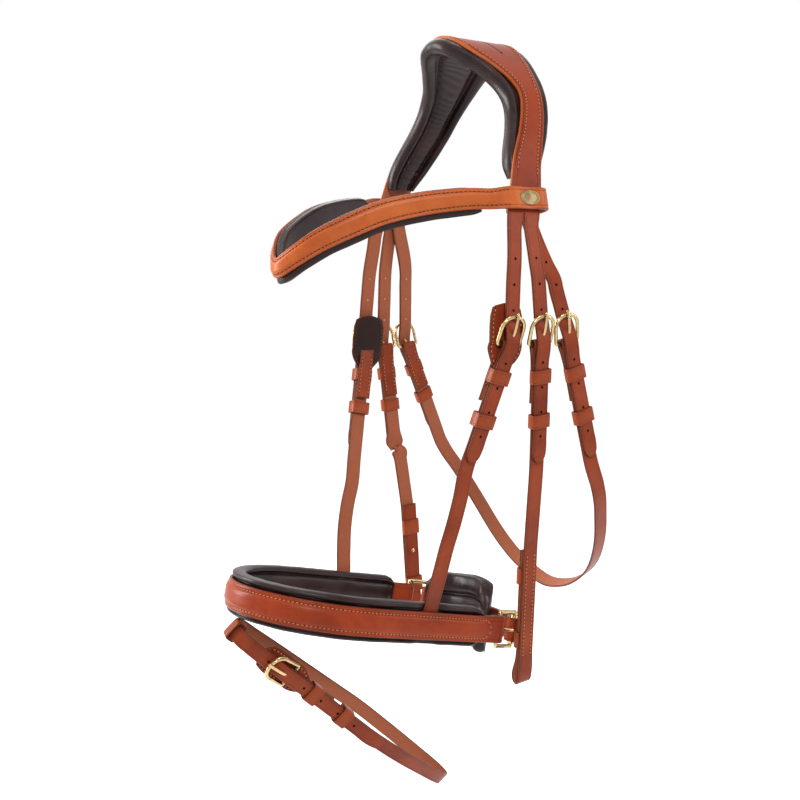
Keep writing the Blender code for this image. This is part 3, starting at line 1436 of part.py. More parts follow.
def build():
    clear_scene()
    arch = Arch()
    let_down = {1: 0.0, -1: FAR_HOLES_LOWER * HOLE_PITCH}
    hangers, cheeks, hanger_seats, cheek_seats = {}, {}, {}, {}
    for side, lowered in let_down.items():
        hangers[side] = Guide(hanger_rows(side, lowered), NOSE_BACKWARD, side)
        cheeks[side] = Guide(cheek_rows(side, lowered), Y_AXIS, side)
        hanger_seats[side] = bar_seat(
            hangers[side], HANGER_SHARES, HANGER_BAR_ROW, side, lowered)
        cheek_seats[side] = bar_seat(
            cheeks[side], CHEEK_SHARES, CHEEK_BAR_ROW, side, lowered)
    throat = Guide(throat_rows(let_down[-1]), THROAT_ACROSS, 1)
    throat_seats = {
        side: bar_seat(throat, THROAT_SHARES, THROAT_BAR_ROW, side, lowered, side)
        for side, lowered in let_down.items()
    }
    nose = Guide(nose_rows(), NOSE_ACROSS, -1)
    crank = Guide(crank_rows(Seat(nose, 0.0, 1), Seat(nose, nose.total, -1)), NOSE_ACROSS, 1)
    flash = Guide(flash_rows(), flash_axes()[3], 1, True)
    buckle = buckle_mesh("strap_buckle", BUCKLE_HALF, BUCKLE_REACH)
    rest = TOP_BAR_N + WIRE_RADIUS + CLEARANCE + TONGUE_THICK / 2
    tongue = tongue_mesh("strap_tongue", WIRE_RADIUS, BUCKLE_REACH, rest)

    headpiece(arch, {side: (hanger_seats[side], cheek_seats[side]) for side in (1, -1)})
    crown_pad(arch)
    browband(arch)
    browband_pad()
    badge("badge_near", arch, 1)
    noseband(nose)
    noseband_pad(nose, [nose_distance(nose, side) for side in (1, -1)])
    for side, word in ((1, "near"), (-1, "far")):
        throat_billet("throat_billet_" + word, throat_seats[side], side > 0)
        hanger("hanger_" + word, hangers[side], hanger_seats[side])
        cheekpiece("cheekpiece_" + word, cheeks[side], cheek_seats[side])
        guard("hanger_guard_" + word, hanger_seats[side], GUARDED_FOLD, GUARD_RISE, GUARD_DROP,
              GUARD_HALF_WIDTH)
        buckled("hanger_" + word, hanger_seats[side], GUARDED_FOLD, (buckle, tongue))
        buckled("cheek_" + word, cheek_seats[side], STRAP_FOLD, (buckle, tongue))
        buckled("throat_" + word, throat_seats[side], STRAP_FOLD, (buckle, tongue))
        hook_stud("hook_stud_" + word, cheek_seats[side], cheeks[side])
        lower_keeper("bit_runner_" + word, cheek_seats[side], cheeks[side], LOWER_RUNNER_RISE)
        lower_keeper("bit_keeper_" + word, cheek_seats[side], cheeks[side], LOWER_KEEPER_RISE)
    throatlatch(throat, throat_seats)
    closure(nose, crank)
    flash_parts(flash)


def nose_distance(guide, side):
    """Where along the noseband a hanger enters."""
    target = nose_point(NOSE_HALF_WIDTH * side, HANGER_PLACE)
    steps = SPAN_STEPS * NOSE_STATIONS
    return min((guide.total * step / steps for step in range(steps + 1)),
               key=lambda distance: (guide.place(distance) - target).length)


def closure(nose, crank):
    near, far = Seat(nose, 0.0, 1), Seat(nose, nose.total, -1)
    ring = square_ring("crank_frame")
    place = near.bar_matrix(CRANK_DEPTH)
    put("crank_buckle", ring, place, brass("crank_buckle"))
    put("crank_ring", ring, far.bar_matrix(CRANK_DEPTH), brass("crank_ring"))
    roller_place = place @ Matrix.Translation((0, CRANK_DEPTH, 0))
    put("crank_roller", roller_mesh("crank_roller"), roller_place, brass("crank_roller"))
    rest = ROLLER_RADIUS + CLEARANCE + TONGUE_THICK / 2
    tongue = tongue_mesh("crank_tongue", CRANK_BAR, CRANK_DEPTH, rest)
    put("crank_tongue", tongue, place, brass("crank_tongue"))
    crank_strap(crank)
    chin_pad(crank)
    chin_loop(crank)


def flash_parts(flash):
    seat = Seat(flash, FLASH_BASE)
    buckle = buckle_mesh("flash_buckle", FLASH_BUCKLE_HALF, FLASH_BUCKLE_REACH)
    rest = TOP_BAR_N + WIRE_RADIUS + CLEARANCE + TONGUE_THICK / 2
    tongue = tongue_mesh("flash_tongue", WIRE_RADIUS, FLASH_BUCKLE_REACH, rest)
    flash_strap(flash, seat)
    guard("flash_guard", seat, FLASH_FOLD, FLASH_GUARD_RISE, FLASH_GUARD_DROP,
          FLASH_GUARD_HALF)
    buckled("flash", seat, FLASH_FOLD, (buckle, tongue))
    flash_loop(flash)


build()
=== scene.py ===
import json
import math

import bmesh
import bpy
from mathutils import Matrix, Vector, noise


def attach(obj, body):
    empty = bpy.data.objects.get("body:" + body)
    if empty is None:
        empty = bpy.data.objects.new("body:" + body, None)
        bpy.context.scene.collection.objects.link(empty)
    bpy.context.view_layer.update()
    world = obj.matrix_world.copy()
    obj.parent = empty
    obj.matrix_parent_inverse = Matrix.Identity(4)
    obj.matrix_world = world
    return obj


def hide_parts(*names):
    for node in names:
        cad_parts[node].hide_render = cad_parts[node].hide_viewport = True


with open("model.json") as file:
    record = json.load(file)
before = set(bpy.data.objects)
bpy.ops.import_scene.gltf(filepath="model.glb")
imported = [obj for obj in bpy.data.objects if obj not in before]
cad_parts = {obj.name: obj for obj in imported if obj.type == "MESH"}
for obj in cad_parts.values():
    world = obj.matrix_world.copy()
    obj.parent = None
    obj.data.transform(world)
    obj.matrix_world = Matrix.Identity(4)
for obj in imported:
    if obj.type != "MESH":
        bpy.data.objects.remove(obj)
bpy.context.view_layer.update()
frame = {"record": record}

BODY_OF = {
    node: body for body, nodes in frame["record"]["behaviour"]["bodies"].items() for node in nodes
}

# overall sizes of the bridle as it hangs open
HEIGHT = 0.512
SPREAD = 0.112
REACH = 0.222
CLEARANCE = 0.0003

# straps
STRAP_WIDTH = 0.0142
STRAP_THICK = 0.0018
BILLET_WIDTH = 0.0136
BILLET_THICK = 0.0022
BILLET_TIP_LENGTH = 0.094
TIP_TAPER = 0.010
LAP_LENGTH = 0.046
LAP_MERGE = 0.012
HOLE_PITCH = 0.0195
HOLE_WIDTH = 0.0028
FAR_HOLES_LOWER = 1
FAR_LEAN = 0.021
ABOVE_HOLES = 3
BELOW_HOLES = 4
SLOT_LENGTH = 0.0084
EYE_SLOT_DEPTH = 0.0042

# buckles of the cheek, hanger and throat straps
WIRE_RADIUS = 0.0015
BUCKLE_REACH = 0.0200
BUCKLE_SIDE_ROOM = 0.0018
TONGUE_WIDTH = 0.0024
TONGUE_THICK = 0.0013
TONGUE_OVERHANG = 0.0030
EYE_START = math.radians(-215)
EYE_TURN = math.radians(275)
BUCKLE_GAP = 0.0010

# keepers
KEEPER_HEIGHT = 0.0110
KEEPER_THICK = 0.0013
KEEPER_ROOM = 0.0004
KEEPER_SUNK = 0.0009
FIXED_KEEPER_DROP = 0.0250
RUNNER_DROP = 0.0600
FAR_RUNNER_DROP = 0.0550
LOWER_RUNNER_RISE = 0.096
LOWER_KEEPER_RISE = 0.040
LOWER_KEEPER_HEIGHT = 0.0140

# crown
BILLET_SETTLE = 0.014
BILLET_DIP = 0.0014
BILLET_ROOM = 0.0005
CROWN_DEPTH = 0.080
CROWN_LEATHER = 0.0032
CROWN_PAD = 0.0095
SPLIT_DROP = 0.1405
PAD_END_DROP = 0.1165
SLIT_WIDTH = 0.0014

# browband
LOOP_DROP = 0.119
LOOP_HEIGHT = 0.017
LOOP_SLACK = 0.0013
LOOP_LEAD = 0.0030
LOOP_REAR = 0.0032
LOOP_START = 0.004
BROW_REACH = 0.181
BROW_DIP = 0.0505
BROW_HEIGHT = 0.0177
BROW_THICK = 0.0026
BROW_CROWN = 0.0016
BROW_PAD = 0.0070
BROW_PAD_LIP = 0.0040
BADGE_LENGTH = 0.0160
BADGE_HEIGHT = 0.0112
BADGE_THICK = 0.0012

# noseband ring, in its own tilted plane
NOSE_HALF_WIDTH = 0.070
NOSE_DEPTH = 0.086
NOSE_BACK = 0.1030
NOSE_BACK_HALF = 0.0645
NOSE_DROP = 0.444
NOSE_BEHIND_FRONT = 0.109
NOSE_PITCH = math.radians(15.4)
NOSE_ROLL = math.radians(4.6)
NOSE_LEATHER = 0.0030
NOSE_WIDTH = 0.0218
NOSE_CROWN = 0.0016
NOSE_PAD = 0.0085
NOSE_PAD_TOP = 0.0065
NOSE_PAD_BOTTOM = 0.0045
NOSE_PAD_END = 0.0825
NOSE_PAD_ROUND = 0.009
HANGER_PLACE = 0.028
HANGER_SEAT = 0.009
RECESS_SLOPE = 0.006

# crank closure and chin pad behind the jaw
CRANK_BAR = 0.0018
CRANK_DEPTH = 0.0195
CRANK_ROOM = 0.0012
CRANK_STRAP_WIDTH = 0.020
CRANK_STRAP_THICK = 0.0024
CRANK_BOW = 0.013
ROLLER_WALL = 0.0010
FOLD_RETURN = 0.018
CHIN_LENGTH = 0.108
CHIN_HALF = 0.046
CHIN_BOW = 0.025
CHIN_HEIGHT = 0.062
CHIN_THICK = 0.0115
CHIN_LIFT = 0.003
CHIN_TILT = math.radians(7)
CHIN_LOOP_WIDTH = 0.018

# flash strap
FLASH_WIDTH = 0.012
FLASH_LENGTH = 0.262
FLASH_SPREAD = 0.024
FLASH_SLOPE = math.radians(43.0)
FLASH_ROLL = math.radians(15)
FLASH_BASE = 0.057
FLASH_BUCKLE_REACH = 0.0234
FLASH_TIP_LENGTH = 0.110
FLASH_DROP = 0.0146
FLASH_INSET = 0.0060
FLASH_LOOP_THICK = 0.0018
FLASH_LOOP_HEIGHT = 0.008
FLASH_LOOP_ROOM = 0.0018
FLASH_REACH_UP = 0.045
FLASH_GUARD_RISE = 0.031
FLASH_GUARD_DROP = 0.033
FLASH_GUARD_HALF = 0.0115
FLASH_ABOVE_HOLES = 1
FLASH_BELOW_HOLES = 4

# buckle guards and the hook studs at the bit ends
GUARD_THICK = 0.0020
GUARD_HALF_WIDTH = 0.0158
GUARD_RISE = 0.031
GUARD_DROP = 0.033
STUD_RISE = 0.073
STUD_STEM = 0.0013
STUD_HEAD = 0.0040
STUD_BASE = 0.0009
STUD_CAP = 0.0010
TURN_UP = 0.118
FOLD_REACH = 0.0068
BIT_GAP = 0.0060
BIT_BULGE = 0.018

# how finely curves are cut
SPAN_STEPS = 10
WRAP_STEPS = 6
TANGENT_STEP = 0.002
LOOK_STEP = 0.0015
STATION_SPACING = 0.022
STATION_TURN = math.radians(7)
EYE_STEPS = 8
NOSE_FRONT_STEPS = 10
CROWN_STEPS = 2
BROW_STEPS = 3
NOSE_STATIONS = 34
NOSE_PAD_STATIONS = 96
CRANK_STATIONS = 16
CHIN_STATIONS = 16
BULGE_STEPS = 4

PITCH = STRAP_WIDTH + 2 * (CLEARANCE + BUCKLE_SIDE_ROOM + 2 * WIRE_RADIUS) + BUCKLE_GAP

# places down each strap: shares of SPREAD, REACH, PITCH and HEIGHT, and of how far a fastening
# is let down; a buckle's bar lies on the row at BAR_ROW
HANGER_SHARES = (
    (0.821, -0.077, -0.64, 0.277, 0.0), (0.844, -0.077, -0.70, 0.316, 0.0),
    (0.862, -0.074, -0.82, 0.352, 0.0), (0.897, -0.070, -1.02, 0.441, 1.0),
    (0.723, -0.295, 0.0, 0.629, 1.0), (0.688, -0.315, 0.0, 0.690, 0.4),
    (0.661, -0.342, 0.0, 0.735, 0.0), (0.638, -0.369, 0.0, 0.785, 0.0),
)
CHEEK_SHARES = (
    (0.826, -0.077, 0.0, 0.277, 0.0), (0.871, -0.077, 0.0, 0.316, 0.0),
    (0.906, -0.075, 0.0, 0.352, 0.0), (0.950, -0.071, 0.0, 0.441, 1.0),
    (0.875, -0.041, 0.0, 0.629, 1.0), (0.848, -0.034, 0.0, 0.668, 0.0),
    (0.805, -0.023, 0.0, 0.727, 0.0), (0.778, -0.016, 0.0, 0.764, 0.0),
    (0.705, 0.0, 0.0, 1.0, 0.0),
)
THROAT_SHARES = (
    (0.712, -0.077, 0.05, 0.220, 0.0), (0.738, -0.077, 0.10, 0.244, 0.0),
    (0.776, -0.077, 0.27, 0.277, 0.0), (0.822, -0.077, 0.51, 0.316, 0.0),
    (0.866, -0.074, 0.79, 0.352, 0.0), (0.965, -0.070, 1.04, 0.441, 1.0),
    (1.018, 0.153, 0.0, 0.629, 1.0), (1.000, 0.207, 0.0, 0.680, 0.4),
    (0.930, 0.256, 0.0, 0.727, 0.0), (0.853, 0.297, 0.0, 0.766, 0.0),
    (0.746, 0.338, 0.0, 0.805, 0.0), (0.594, 0.381, 0.0, 0.844, 0.0),
    (0.384, 0.414, 0.0, 0.879, 0.0), (0.179, 0.437, 0.0, 0.900, 0.0),
    (0.0, 0.441, 0.0, 0.908, 0.0),
)
# how far the far side of the throat strap leans back, row by row
THROAT_LEAN_SHARES = (0, 0, 0, 0, 0, 0, 1.0, 0.8, 0.7, 0.72, 0.62, 0.36, 0.14, 0.02, 0)
# rows of a strap from which it runs straight, because a fastening sits there
HANGER_STRAIGHT_ROWS = (2, 3)
CHEEK_STRAIGHT_ROWS = (2, 3, 7)
THROAT_STRAIGHT_ROWS = (4, 5)
HANGER_BAR_ROW = 3
CHEEK_BAR_ROW = 3
THROAT_BAR_ROW = 5
STRAIGHT_SHARES = (0.04, 0.3, 0.65, 0.96)

# crown sections: shares of SPREAD, of SPLIT_DROP, and of CROWN_DEPTH for the pad's and the
# leather's front and rear edges
CROWN_SHARES = (
    (0.0, 0.0, -0.525, 0.485, -0.43, 0.36), (0.161, 0.035, -0.50, 0.485, -0.40, 0.36),
    (0.295, 0.110, -0.36, 0.46, -0.255, 0.345), (0.429, 0.217, -0.21, 0.415, -0.095, 0.30),
    (0.536, 0.324, -0.16, 0.365, -0.03, 0.255), (0.612, 0.438, -0.19, 0.305, -0.075, 0.20),
    (0.688, 0.580, -0.29, 0.19, -0.19, 0.10), (0.746, 0.722, -0.375, 0.06, -0.325, 0.015),
    (0.781, 0.865, -0.42, 0.0, -0.395, -0.02), (0.822, 1.0, -0.47, -0.08, -0.47, -0.09),
)
# browband stations: shares of SPREAD, BROW_REACH, BROW_DIP and BROW_HEIGHT
BROW_SHARES = (
    (0.0, -1.0, 1.0, 0.85), (0.134, -0.967, 0.845, 0.87), (0.268, -0.89, 0.60, 0.95),
    (0.384, -0.762, 0.355, 1.0), (0.464, -0.652, 0.19, 1.0), (0.58, -0.508, 0.07, 0.95),
    (0.696, -0.365, 0.005, 0.90), (0.768, -0.280, 0.0, 0.86),
)
# one half of the flash strap's leaf-shaped loop: shares of FLASH_LENGTH and FLASH_SPREAD
FLASH_SHARES = (
    (0.0, 0.0), (0.007, 0.24), (0.055, 0.44), (0.53, 1.0), (0.66, 0.95), (0.79, 0.74),
    (0.89, 0.50), (0.955, 0.34), (0.99, 0.18), (1.0, 0.0),
)
FLASH_STRAIGHT_ROW = 2
# a guard's outline: shares of its rise or drop, and of its half width
GUARD_SHARES = ((1.0, 0.42), (0.93, 0.70), (0.78, 0.92), (0.5, 1.0), (0.16, 1.0))
GUARD_FOOT_SHARES = ((-0.36, 0.80), (-0.50, 0.57), (-0.60, 0.43), (-1.0, 0.43))
# a pad's cross-section: shares of half its width and of its depth, round the crown pad's section
CROWN_PAD_SHARES = (
    (-1.0, -0.52), (-0.95, -0.05), (-0.82, 0.15), (-0.66, 0.05), (-0.50, 0.0), (0.50, 0.0),
    (0.66, 0.05), (0.82, 0.15), (0.95, -0.05), (1.0, -0.52), (0.95, -1.00), (0.80, -1.20),
    (0.64, -1.04), (0.56, -0.52), (0.36, -0.90), (0.0, -1.0), (-0.36, -0.90), (-0.56, -0.52),
    (-0.64, -1.04), (-0.80, -1.20), (-0.95, -1.00),
)
NOSE_PAD_SHARES = (
    (-1.0, -0.40), (-0.97, -0.05), (-0.88, 0.12), (-0.79, 0.0), (-0.60, 0.0), (0.54, 0.0),
    (0.65, 0.02), (0.79, 0.22), (0.93, 0.14), (1.0, -0.26), (0.985, -0.72), (0.88, -1.06),
    (0.73, -0.96), (0.63, -0.52), (0.50, -0.86), (0.0, -1.06), (-0.50, -0.86), (-0.63, -0.52),
    (-0.73, -0.94), (-0.88, -1.06), (-0.98, -0.75),
)
BROW_PAD_SHARES = (
    (-1.0, -0.35), (-0.88, 0.0), (0.88, 0.0), (1.0, -0.35), (0.92, -0.80), (0.55, -1.0),
    (-0.55, -1.0), (-0.92, -0.80),
)
CHIN_PAD_SHARES = (
    (-1.0, -0.50), (-0.96, -0.12), (-0.80, 0.0), (0.80, 0.0), (0.96, -0.12), (1.0, -0.50),
    (0.92, -0.90), (0.72, -1.0), (0.50, -0.92), (0.40, -0.62), (0.30, -0.90), (0.0, -1.0),
    (-0.30, -0.90), (-0.40, -0.62), (-0.50, -0.92), (-0.72, -1.0), (-0.92, -0.90),
)
# how a pad's end is drawn in: shares of its full section at its last sections
END_SHARES = (0.72, 0.93, 1.0)
CHIN_END_SHARES = (0.45, 0.9, 1.12, 1.0)
CHIN_SHARES = ((1.12, 1.3), (1.0, 0.88), (0.82, 0.46), (0.55, 0.14), (0.28, 0.02), (0.0, 0.0))
CRANK_SHARES = ((1.0, 0.0), (0.8, 0.46), (0.58, 0.74), (0.3, 0.95), (0.0, 1.0))
BROW_COLUMN_SHARES = (-1.0, -0.55, 0.55, 1.0)
NOSE_RAISED_SHARE = 0.62
NOSE_SIDE_SHARES = (0.86, 0.5, 0.2)
FLASH_RISE_SHARES = (0.70, 0.26)
BILLET_TOP_SHARES = (0.96, 0.92)
TIP_BEND_SHARE = 0.62
TIP_SHARES = (0.80, 0.36)
KNEE_SHARES = (0.36, 0.62)


X_AXIS = Vector((1, 0, 0))
Y_AXIS = Vector((0, 1, 0))
Z_AXIS = Vector((0, 0, 1))
THROAT_ACROSS = Vector((0, 0.93, 0.37))


def axes_matrix(origin, x_axis, y_axis, z_axis):
    turned = Matrix((x_axis, y_axis, z_axis)).transposed().to_4x4()
    return Matrix.Translation(origin) @ turned


def ease(share):
    share = min(max(share, 0.0), 1.0)
    return share * share * (3 - 2 * share)


def blend(first, last, share):
    return first + (last - first) * share


def smooth_run(rows, steps=SPAN_STEPS, closed=False):
    """Points on a smooth curve through the rows, which may close to a ring."""
    count = len(rows)
    points = []
    for index in range(count if closed else count - 1):
        before, start, end, after = (
            rows[place % count if closed else min(max(place, 0), count - 1)]
            for place in range(index - 1, index + 3))
        for step in range(steps):
            share = step / steps
            pull = 2 * start + (end - before) * share
            bend = (2 * before - 5 * start + 4 * end - after) * share ** 2
            turn = (3 * start - before - 3 * end + after) * share ** 3
            points.append((pull + bend + turn) / 2)
    return points if closed else points + [rows[-1].copy()]


def direction(points, index):
    """Which way a row of points runs at one of them."""
    ahead = points[min(index + 1, len(points) - 1)]
    return (ahead - points[max(index - 1, 0)]).normalized()


def distances(points, least=0.0):
    """How far along a row each of its points lies."""
    places = [0.0]
    for first, last in zip(points, points[1:]):
        places.append(places[-1] + max((last - first).length, least))
    return places


def near_end(shares, step, last):
    """The share for a step, counted from the nearer end; the last share serves the rest."""
    return shares[min(step, last - step, len(shares) - 1)]


def with_straights(rows, straight_rows):
    """The rows, with more of them on the straight line that starts at each named row."""
    result = []
    for index, row in enumerate(rows):
        result.append(row)
        if index in straight_rows:
            result += [blend(row, rows[index + 1], share) for share in STRAIGHT_SHARES]
    return result


class Guide:
    """A smooth line that a strap follows, with its across and outward directions."""

    def __init__(self, rows, across, side, closed=False):
        self.points = smooth_run(rows)
        self.across = across
        self.side = side
        self.closed = closed
        self.lengths = distances(self.points)
        self.total = self.lengths[-1]

    def place(self, distance):
        if self.closed:
            distance %= self.total
        for index in range(1, len(self.points)):
            if distance <= self.lengths[index] or index == len(self.points) - 1:
                span = self.lengths[index] - self.lengths[index - 1]
                share = (distance - self.lengths[index - 1]) / span
                return blend(self.points[index - 1], self.points[index], share)
        return self.points[-1]

    def frame(self, distance):
        point = self.place(distance)
        ahead = self.place(distance + TANGENT_STEP)
        behind = self.place(distance - TANGENT_STEP)
        along = (ahead - behind).normalized()
        across = (self.across - along * self.across.dot(along)).normalized()
        return point, along, across, along.cross(across) * self.side

    def stations(self, start, end):
        """Distances from start to end, closer together where the line turns faster."""
        places = [start]
        along = self.frame(start)[1]
        count = math.ceil((end - start) / LOOK_STEP)
        for step in range(1, count):
            place = blend(start, end, step / count)
            turned = self.frame(place)[1]
            far = place - places[-1] > STATION_SPACING
            bent = turned.angle(along) > STATION_TURN
            if (far or bent) and end - place > LOOK_STEP:
                places.append(place)
                along = turned
        return places + [end]

    def nearest(self, place):
        """The distance along the guide of the point that lies nearest to a place."""
        index = min(range(len(self.points)), key=lambda i: (self.points[i] - place).length)
        return self.lengths[index]


class Seat:
    """A place on a guide: u runs up the strap from it, n outward and w across."""

    def __init__(self, guide, distance, down=1):
        self.guide = guide
        self.distance = distance
        self.down = down

    def point(self, u, n, w=0.0):
        point, _, across, outward = self.guide.frame(self.distance - self.down * u)
        return point + outward * n + across * w

    def axes(self, u=0.0):
        point, along, _, outward = self.guide.frame(self.distance - self.down * u)
        up = along * -self.down
        return point, up.cross(outward), up, outward

    def matrix(self, u=0.0):
        point, across, up, outward = self.axes(u)
        return axes_matrix(point, across, up, outward)

    def bar_matrix(self, reach):
        """The frame of a buckle that hangs on the bar and runs straight up the strap."""
        point = self.point(0.0, 0.0)
        up = (self.point(reach, 0.0) - point).normalized()
        outward = self.axes(reach / 2)[3]
        outward = (outward - up * outward.dot(up)).normalized()
        return axes_matrix(point, up.cross(outward), up, outward)


# a strap's section is a row of columns, and a column is an outer and an inner point

def flat_section(seat, u, n, half, thick, columns=None, lift=0.0):
    places = columns or (-half, half)
    section = []
    for index, w in enumerate(places):
        raised = lift if 0 < index < len(places) - 1 else 0.0
        section.append((seat.point(u, n + thick / 2 + raised, w), seat.point(u, n - thick / 2, w)))
    return section


def turned_section(seat, fold, angle):
    """A section of a strap that wraps the bar at the seat; zero angle is the outward side."""
    bar = seat.bar_matrix(fold.reach).to_3x3()
    point, up, outward = seat.point(0.0, 0.0), bar @ Y_AXIS, bar @ Z_AXIS
    across = bar @ X_AXIS
    if across.dot(seat.guide.frame(seat.distance)[2]) < 0:
        across *= -1
    radial = outward * math.cos(angle) + up * math.sin(angle)
    return [
        tuple(point + radial * (fold.radius + side * fold.thick / 2) + across * w
              for side in (1, -1))
        for w in (-fold.half, fold.half)
    ]


def flipped(section):
    return [(inner, outer) for outer, inner in section]


# the folded end of a strap round its bar

class Fold:
    """How far the two layers of a folded strap lie from the line of its bar."""

    def __init__(self, bar, half, thick, merge, lap, reach, under=0.0):
        self.radius = bar + CLEARANCE + thick / 2
        self.half = half
        self.thick = thick
        self.merge = merge
        self.lap = lap
        self.reach = reach
        self.flat = (CLEARANCE + thick) / 2
        self.under = under
        self.slot = EYE_SLOT_DEPTH + bar - WIRE_RADIUS

    def main_n(self, u):
        return blend(self.radius, self.flat, ease(-u / self.merge))

    def lap_n(self, u):
        return -blend(self.radius, self.flat + self.under, ease(-u / self.merge))

    def run(self, seat):
        """Sections from the main strap, over the bar and down the folded end."""
        def layer(u, n):
            return flat_section(seat, u, n, self.half, self.thick)

        places = (-self.merge, -(self.merge + self.slot) / 2, -self.slot)
        main = [layer(u, self.main_n(u)) for u in places]
        wrap = [turned_section(seat, self, math.pi * step / WRAP_STEPS)
                for step in range(WRAP_STEPS + 1)]
        return main + wrap + [flipped(layer(u, self.lap_n(u)))
                              for u in places[::-1] + (-self.lap,)]


STRAP_FOLD = Fold(
    WIRE_RADIUS, STRAP_WIDTH / 2, STRAP_THICK, LAP_MERGE, LAP_LENGTH, BUCKLE_REACH)
GUARDED_FOLD = Fold(WIRE_RADIUS, STRAP_WIDTH / 2, STRAP_THICK, LAP_MERGE, LAP_LENGTH,
                    BUCKLE_REACH, GUARD_THICK + CLEARANCE)
FLASH_FOLD = Fold(WIRE_RADIUS, FLASH_WIDTH / 2, STRAP_THICK, LAP_MERGE, LAP_LENGTH,
                  FLASH_BUCKLE_REACH, GUARD_THICK + CLEARANCE)
NOSE_FOLD = Fold(
    CRANK_BAR, NOSE_WIDTH / 2, NOSE_LEATHER, LAP_MERGE, FOLD_RETURN, CRANK_DEPTH)
ROLLER_RADIUS = CRANK_BAR + CLEARANCE + ROLLER_WALL
ROLLER_FOLD = Fold(ROLLER_RADIUS, CRANK_STRAP_WIDTH / 2, CRANK_STRAP_THICK, LAP_MERGE,
                   LAP_MERGE + CRANK_STRAP_THICK, CRANK_DEPTH)
RING_FOLD = Fold(CRANK_BAR, CRANK_STRAP_WIDTH / 2, CRANK_STRAP_THICK, LAP_MERGE, FOLD_RETURN,
                 CRANK_DEPTH)

# heights of a billet that lies over the fold and through the buckle
OVER_BAR_N = STRAP_FOLD.radius + STRAP_THICK / 2 + BILLET_ROOM + BILLET_THICK / 2
OVER_MAIN_N = STRAP_FOLD.flat + STRAP_THICK / 2 + BILLET_ROOM + BILLET_THICK / 2
TOP_BAR_N = OVER_BAR_N + BILLET_THICK / 2 + CLEARANCE + WIRE_RADIUS
TONGUE_REST_N = TOP_BAR_N + WIRE_RADIUS + CLEARANCE + TONGUE_THICK / 2
GUARD_LOW_N = -(CLEARANCE + GUARD_THICK) / 2
GUARD_HIGH_N = -(WIRE_RADIUS + CLEARANCE + GUARD_THICK / 2)
SLOT_PLACE = (BUCKLE_REACH - SLOT_LENGTH) / 2
BUCKLE_HALF = STRAP_WIDTH / 2 + CLEARANCE + BUCKLE_SIDE_ROOM + WIRE_RADIUS
FLASH_BUCKLE_HALF = FLASH_WIDTH / 2 + CLEARANCE + BUCKLE_SIDE_ROOM + WIRE_RADIUS


def billet_n(u):
    if u > 0:
        return OVER_BAR_N - BILLET_DIP * ease((u - SLOT_PLACE) / (BUCKLE_REACH - SLOT_PLACE))
    return blend(OVER_BAR_N, OVER_MAIN_N, ease(-(u + WIRE_RADIUS) / BILLET_SETTLE))


def guard_n(u):
    return blend(GUARD_HIGH_N, GUARD_LOW_N, ease(-(u + WIRE_RADIUS) / LAP_MERGE))


def billet_run(seat, top, tip=BILLET_TIP_LENGTH, half=BILLET_WIDTH / 2, above=ABOVE_HOLES,
               below=BELOW_HOLES):
    """Sections down a billet to its tip, and which of them lie just above a round hole."""
    taper = tip - TIP_TAPER
    stops = {top, -taper, -blend(taper, tip, TIP_BEND_SHARE), -tip}
    starts = set()
    for index in range(-above, below + 1):
        place = SLOT_PLACE - index * HOLE_PITCH
        margin = (HOLE_WIDTH if index else SLOT_LENGTH) / 2 + HOLE_WIDTH / 4
        stops |= {place + margin, place - margin}
        if index:
            starts.add(place + margin)
    shares = [top * share for share in BILLET_TOP_SHARES]
    for u in shares + [BUCKLE_REACH, -WIRE_RADIUS, -BILLET_SETTLE / 2, -BILLET_SETTLE]:
        if all(abs(u - stop) >= HOLE_WIDTH for stop in stops):
            stops.add(u)
    ordered = sorted(stops, reverse=True)
    sections = []
    for u in ordered:
        width = half
        if u < -taper:
            width *= TIP_SHARES[0] if u > -tip else TIP_SHARES[1]
        sections.append(flat_section(seat, u, billet_n(u), width, BILLET_THICK))
    return sections, [index for index, u in enumerate(ordered) if u in starts]


def stack_keeper(name, seat, u, fold):
    """A keeper round billet, strap, folded end and any guard at a place below a buckle."""
    spots = (u - KEEPER_HEIGHT / 2, u, u + KEEPER_HEIGHT / 2)
    if -spots[0] < fold.lap + CLEARANCE:
        low = min(fold.lap_n(spot) for spot in spots) - fold.thick / 2
        if name.endswith("_keeper"):
            # a fixed keeper's inner side is sewn in under the folded end, out of sight
            low = (max(fold.lap_n(spot) for spot in spots) - fold.thick / 2 + KEEPER_SUNK
                   + KEEPER_THICK + KEEPER_ROOM)
    else:
        low = fold.flat - fold.thick / 2
        if fold.under:
            low = min(low, GUARD_LOW_N - GUARD_THICK / 2)
    high = max(billet_n(spot) for spot in spots) + BILLET_THICK / 2
    mesh = keeper_mesh(name, fold.half + KEEPER_ROOM, low - KEEPER_ROOM, high + KEEPER_ROOM,
                       KEEPER_HEIGHT)
    put(name, mesh, seat.matrix(u))


# guides of the straps

def strap_rows(shares, side, lowered):
    return [
        Vector((x * SPREAD * side, y * REACH + lateral * PITCH, -drop * HEIGHT - let * lowered))
        for x, y, lateral, drop, let in shares
    ]


def nose_axes():
    """The noseband ring's own frame: across, back and up out of its plane."""
    turn = Matrix.Rotation(-NOSE_PITCH, 4, "X") @ Matrix.Rotation(-NOSE_ROLL, 4, "Y")
    centre = Vector((0, NOSE_BEHIND_FRONT * math.cos(NOSE_PITCH) - REACH, -NOSE_DROP))
    return Matrix.Translation(centre) @ turn


NOSE_FRAME = nose_axes()
NOSE_ACROSS = (NOSE_FRAME.to_3x3() @ Z_AXIS).normalized()
NOSE_BACKWARD = (NOSE_FRAME.to_3x3() @ Y_AXIS).normalized()


def nose_point(x, y, v=0.0):
    return NOSE_FRAME @ Vector((x, y, v))


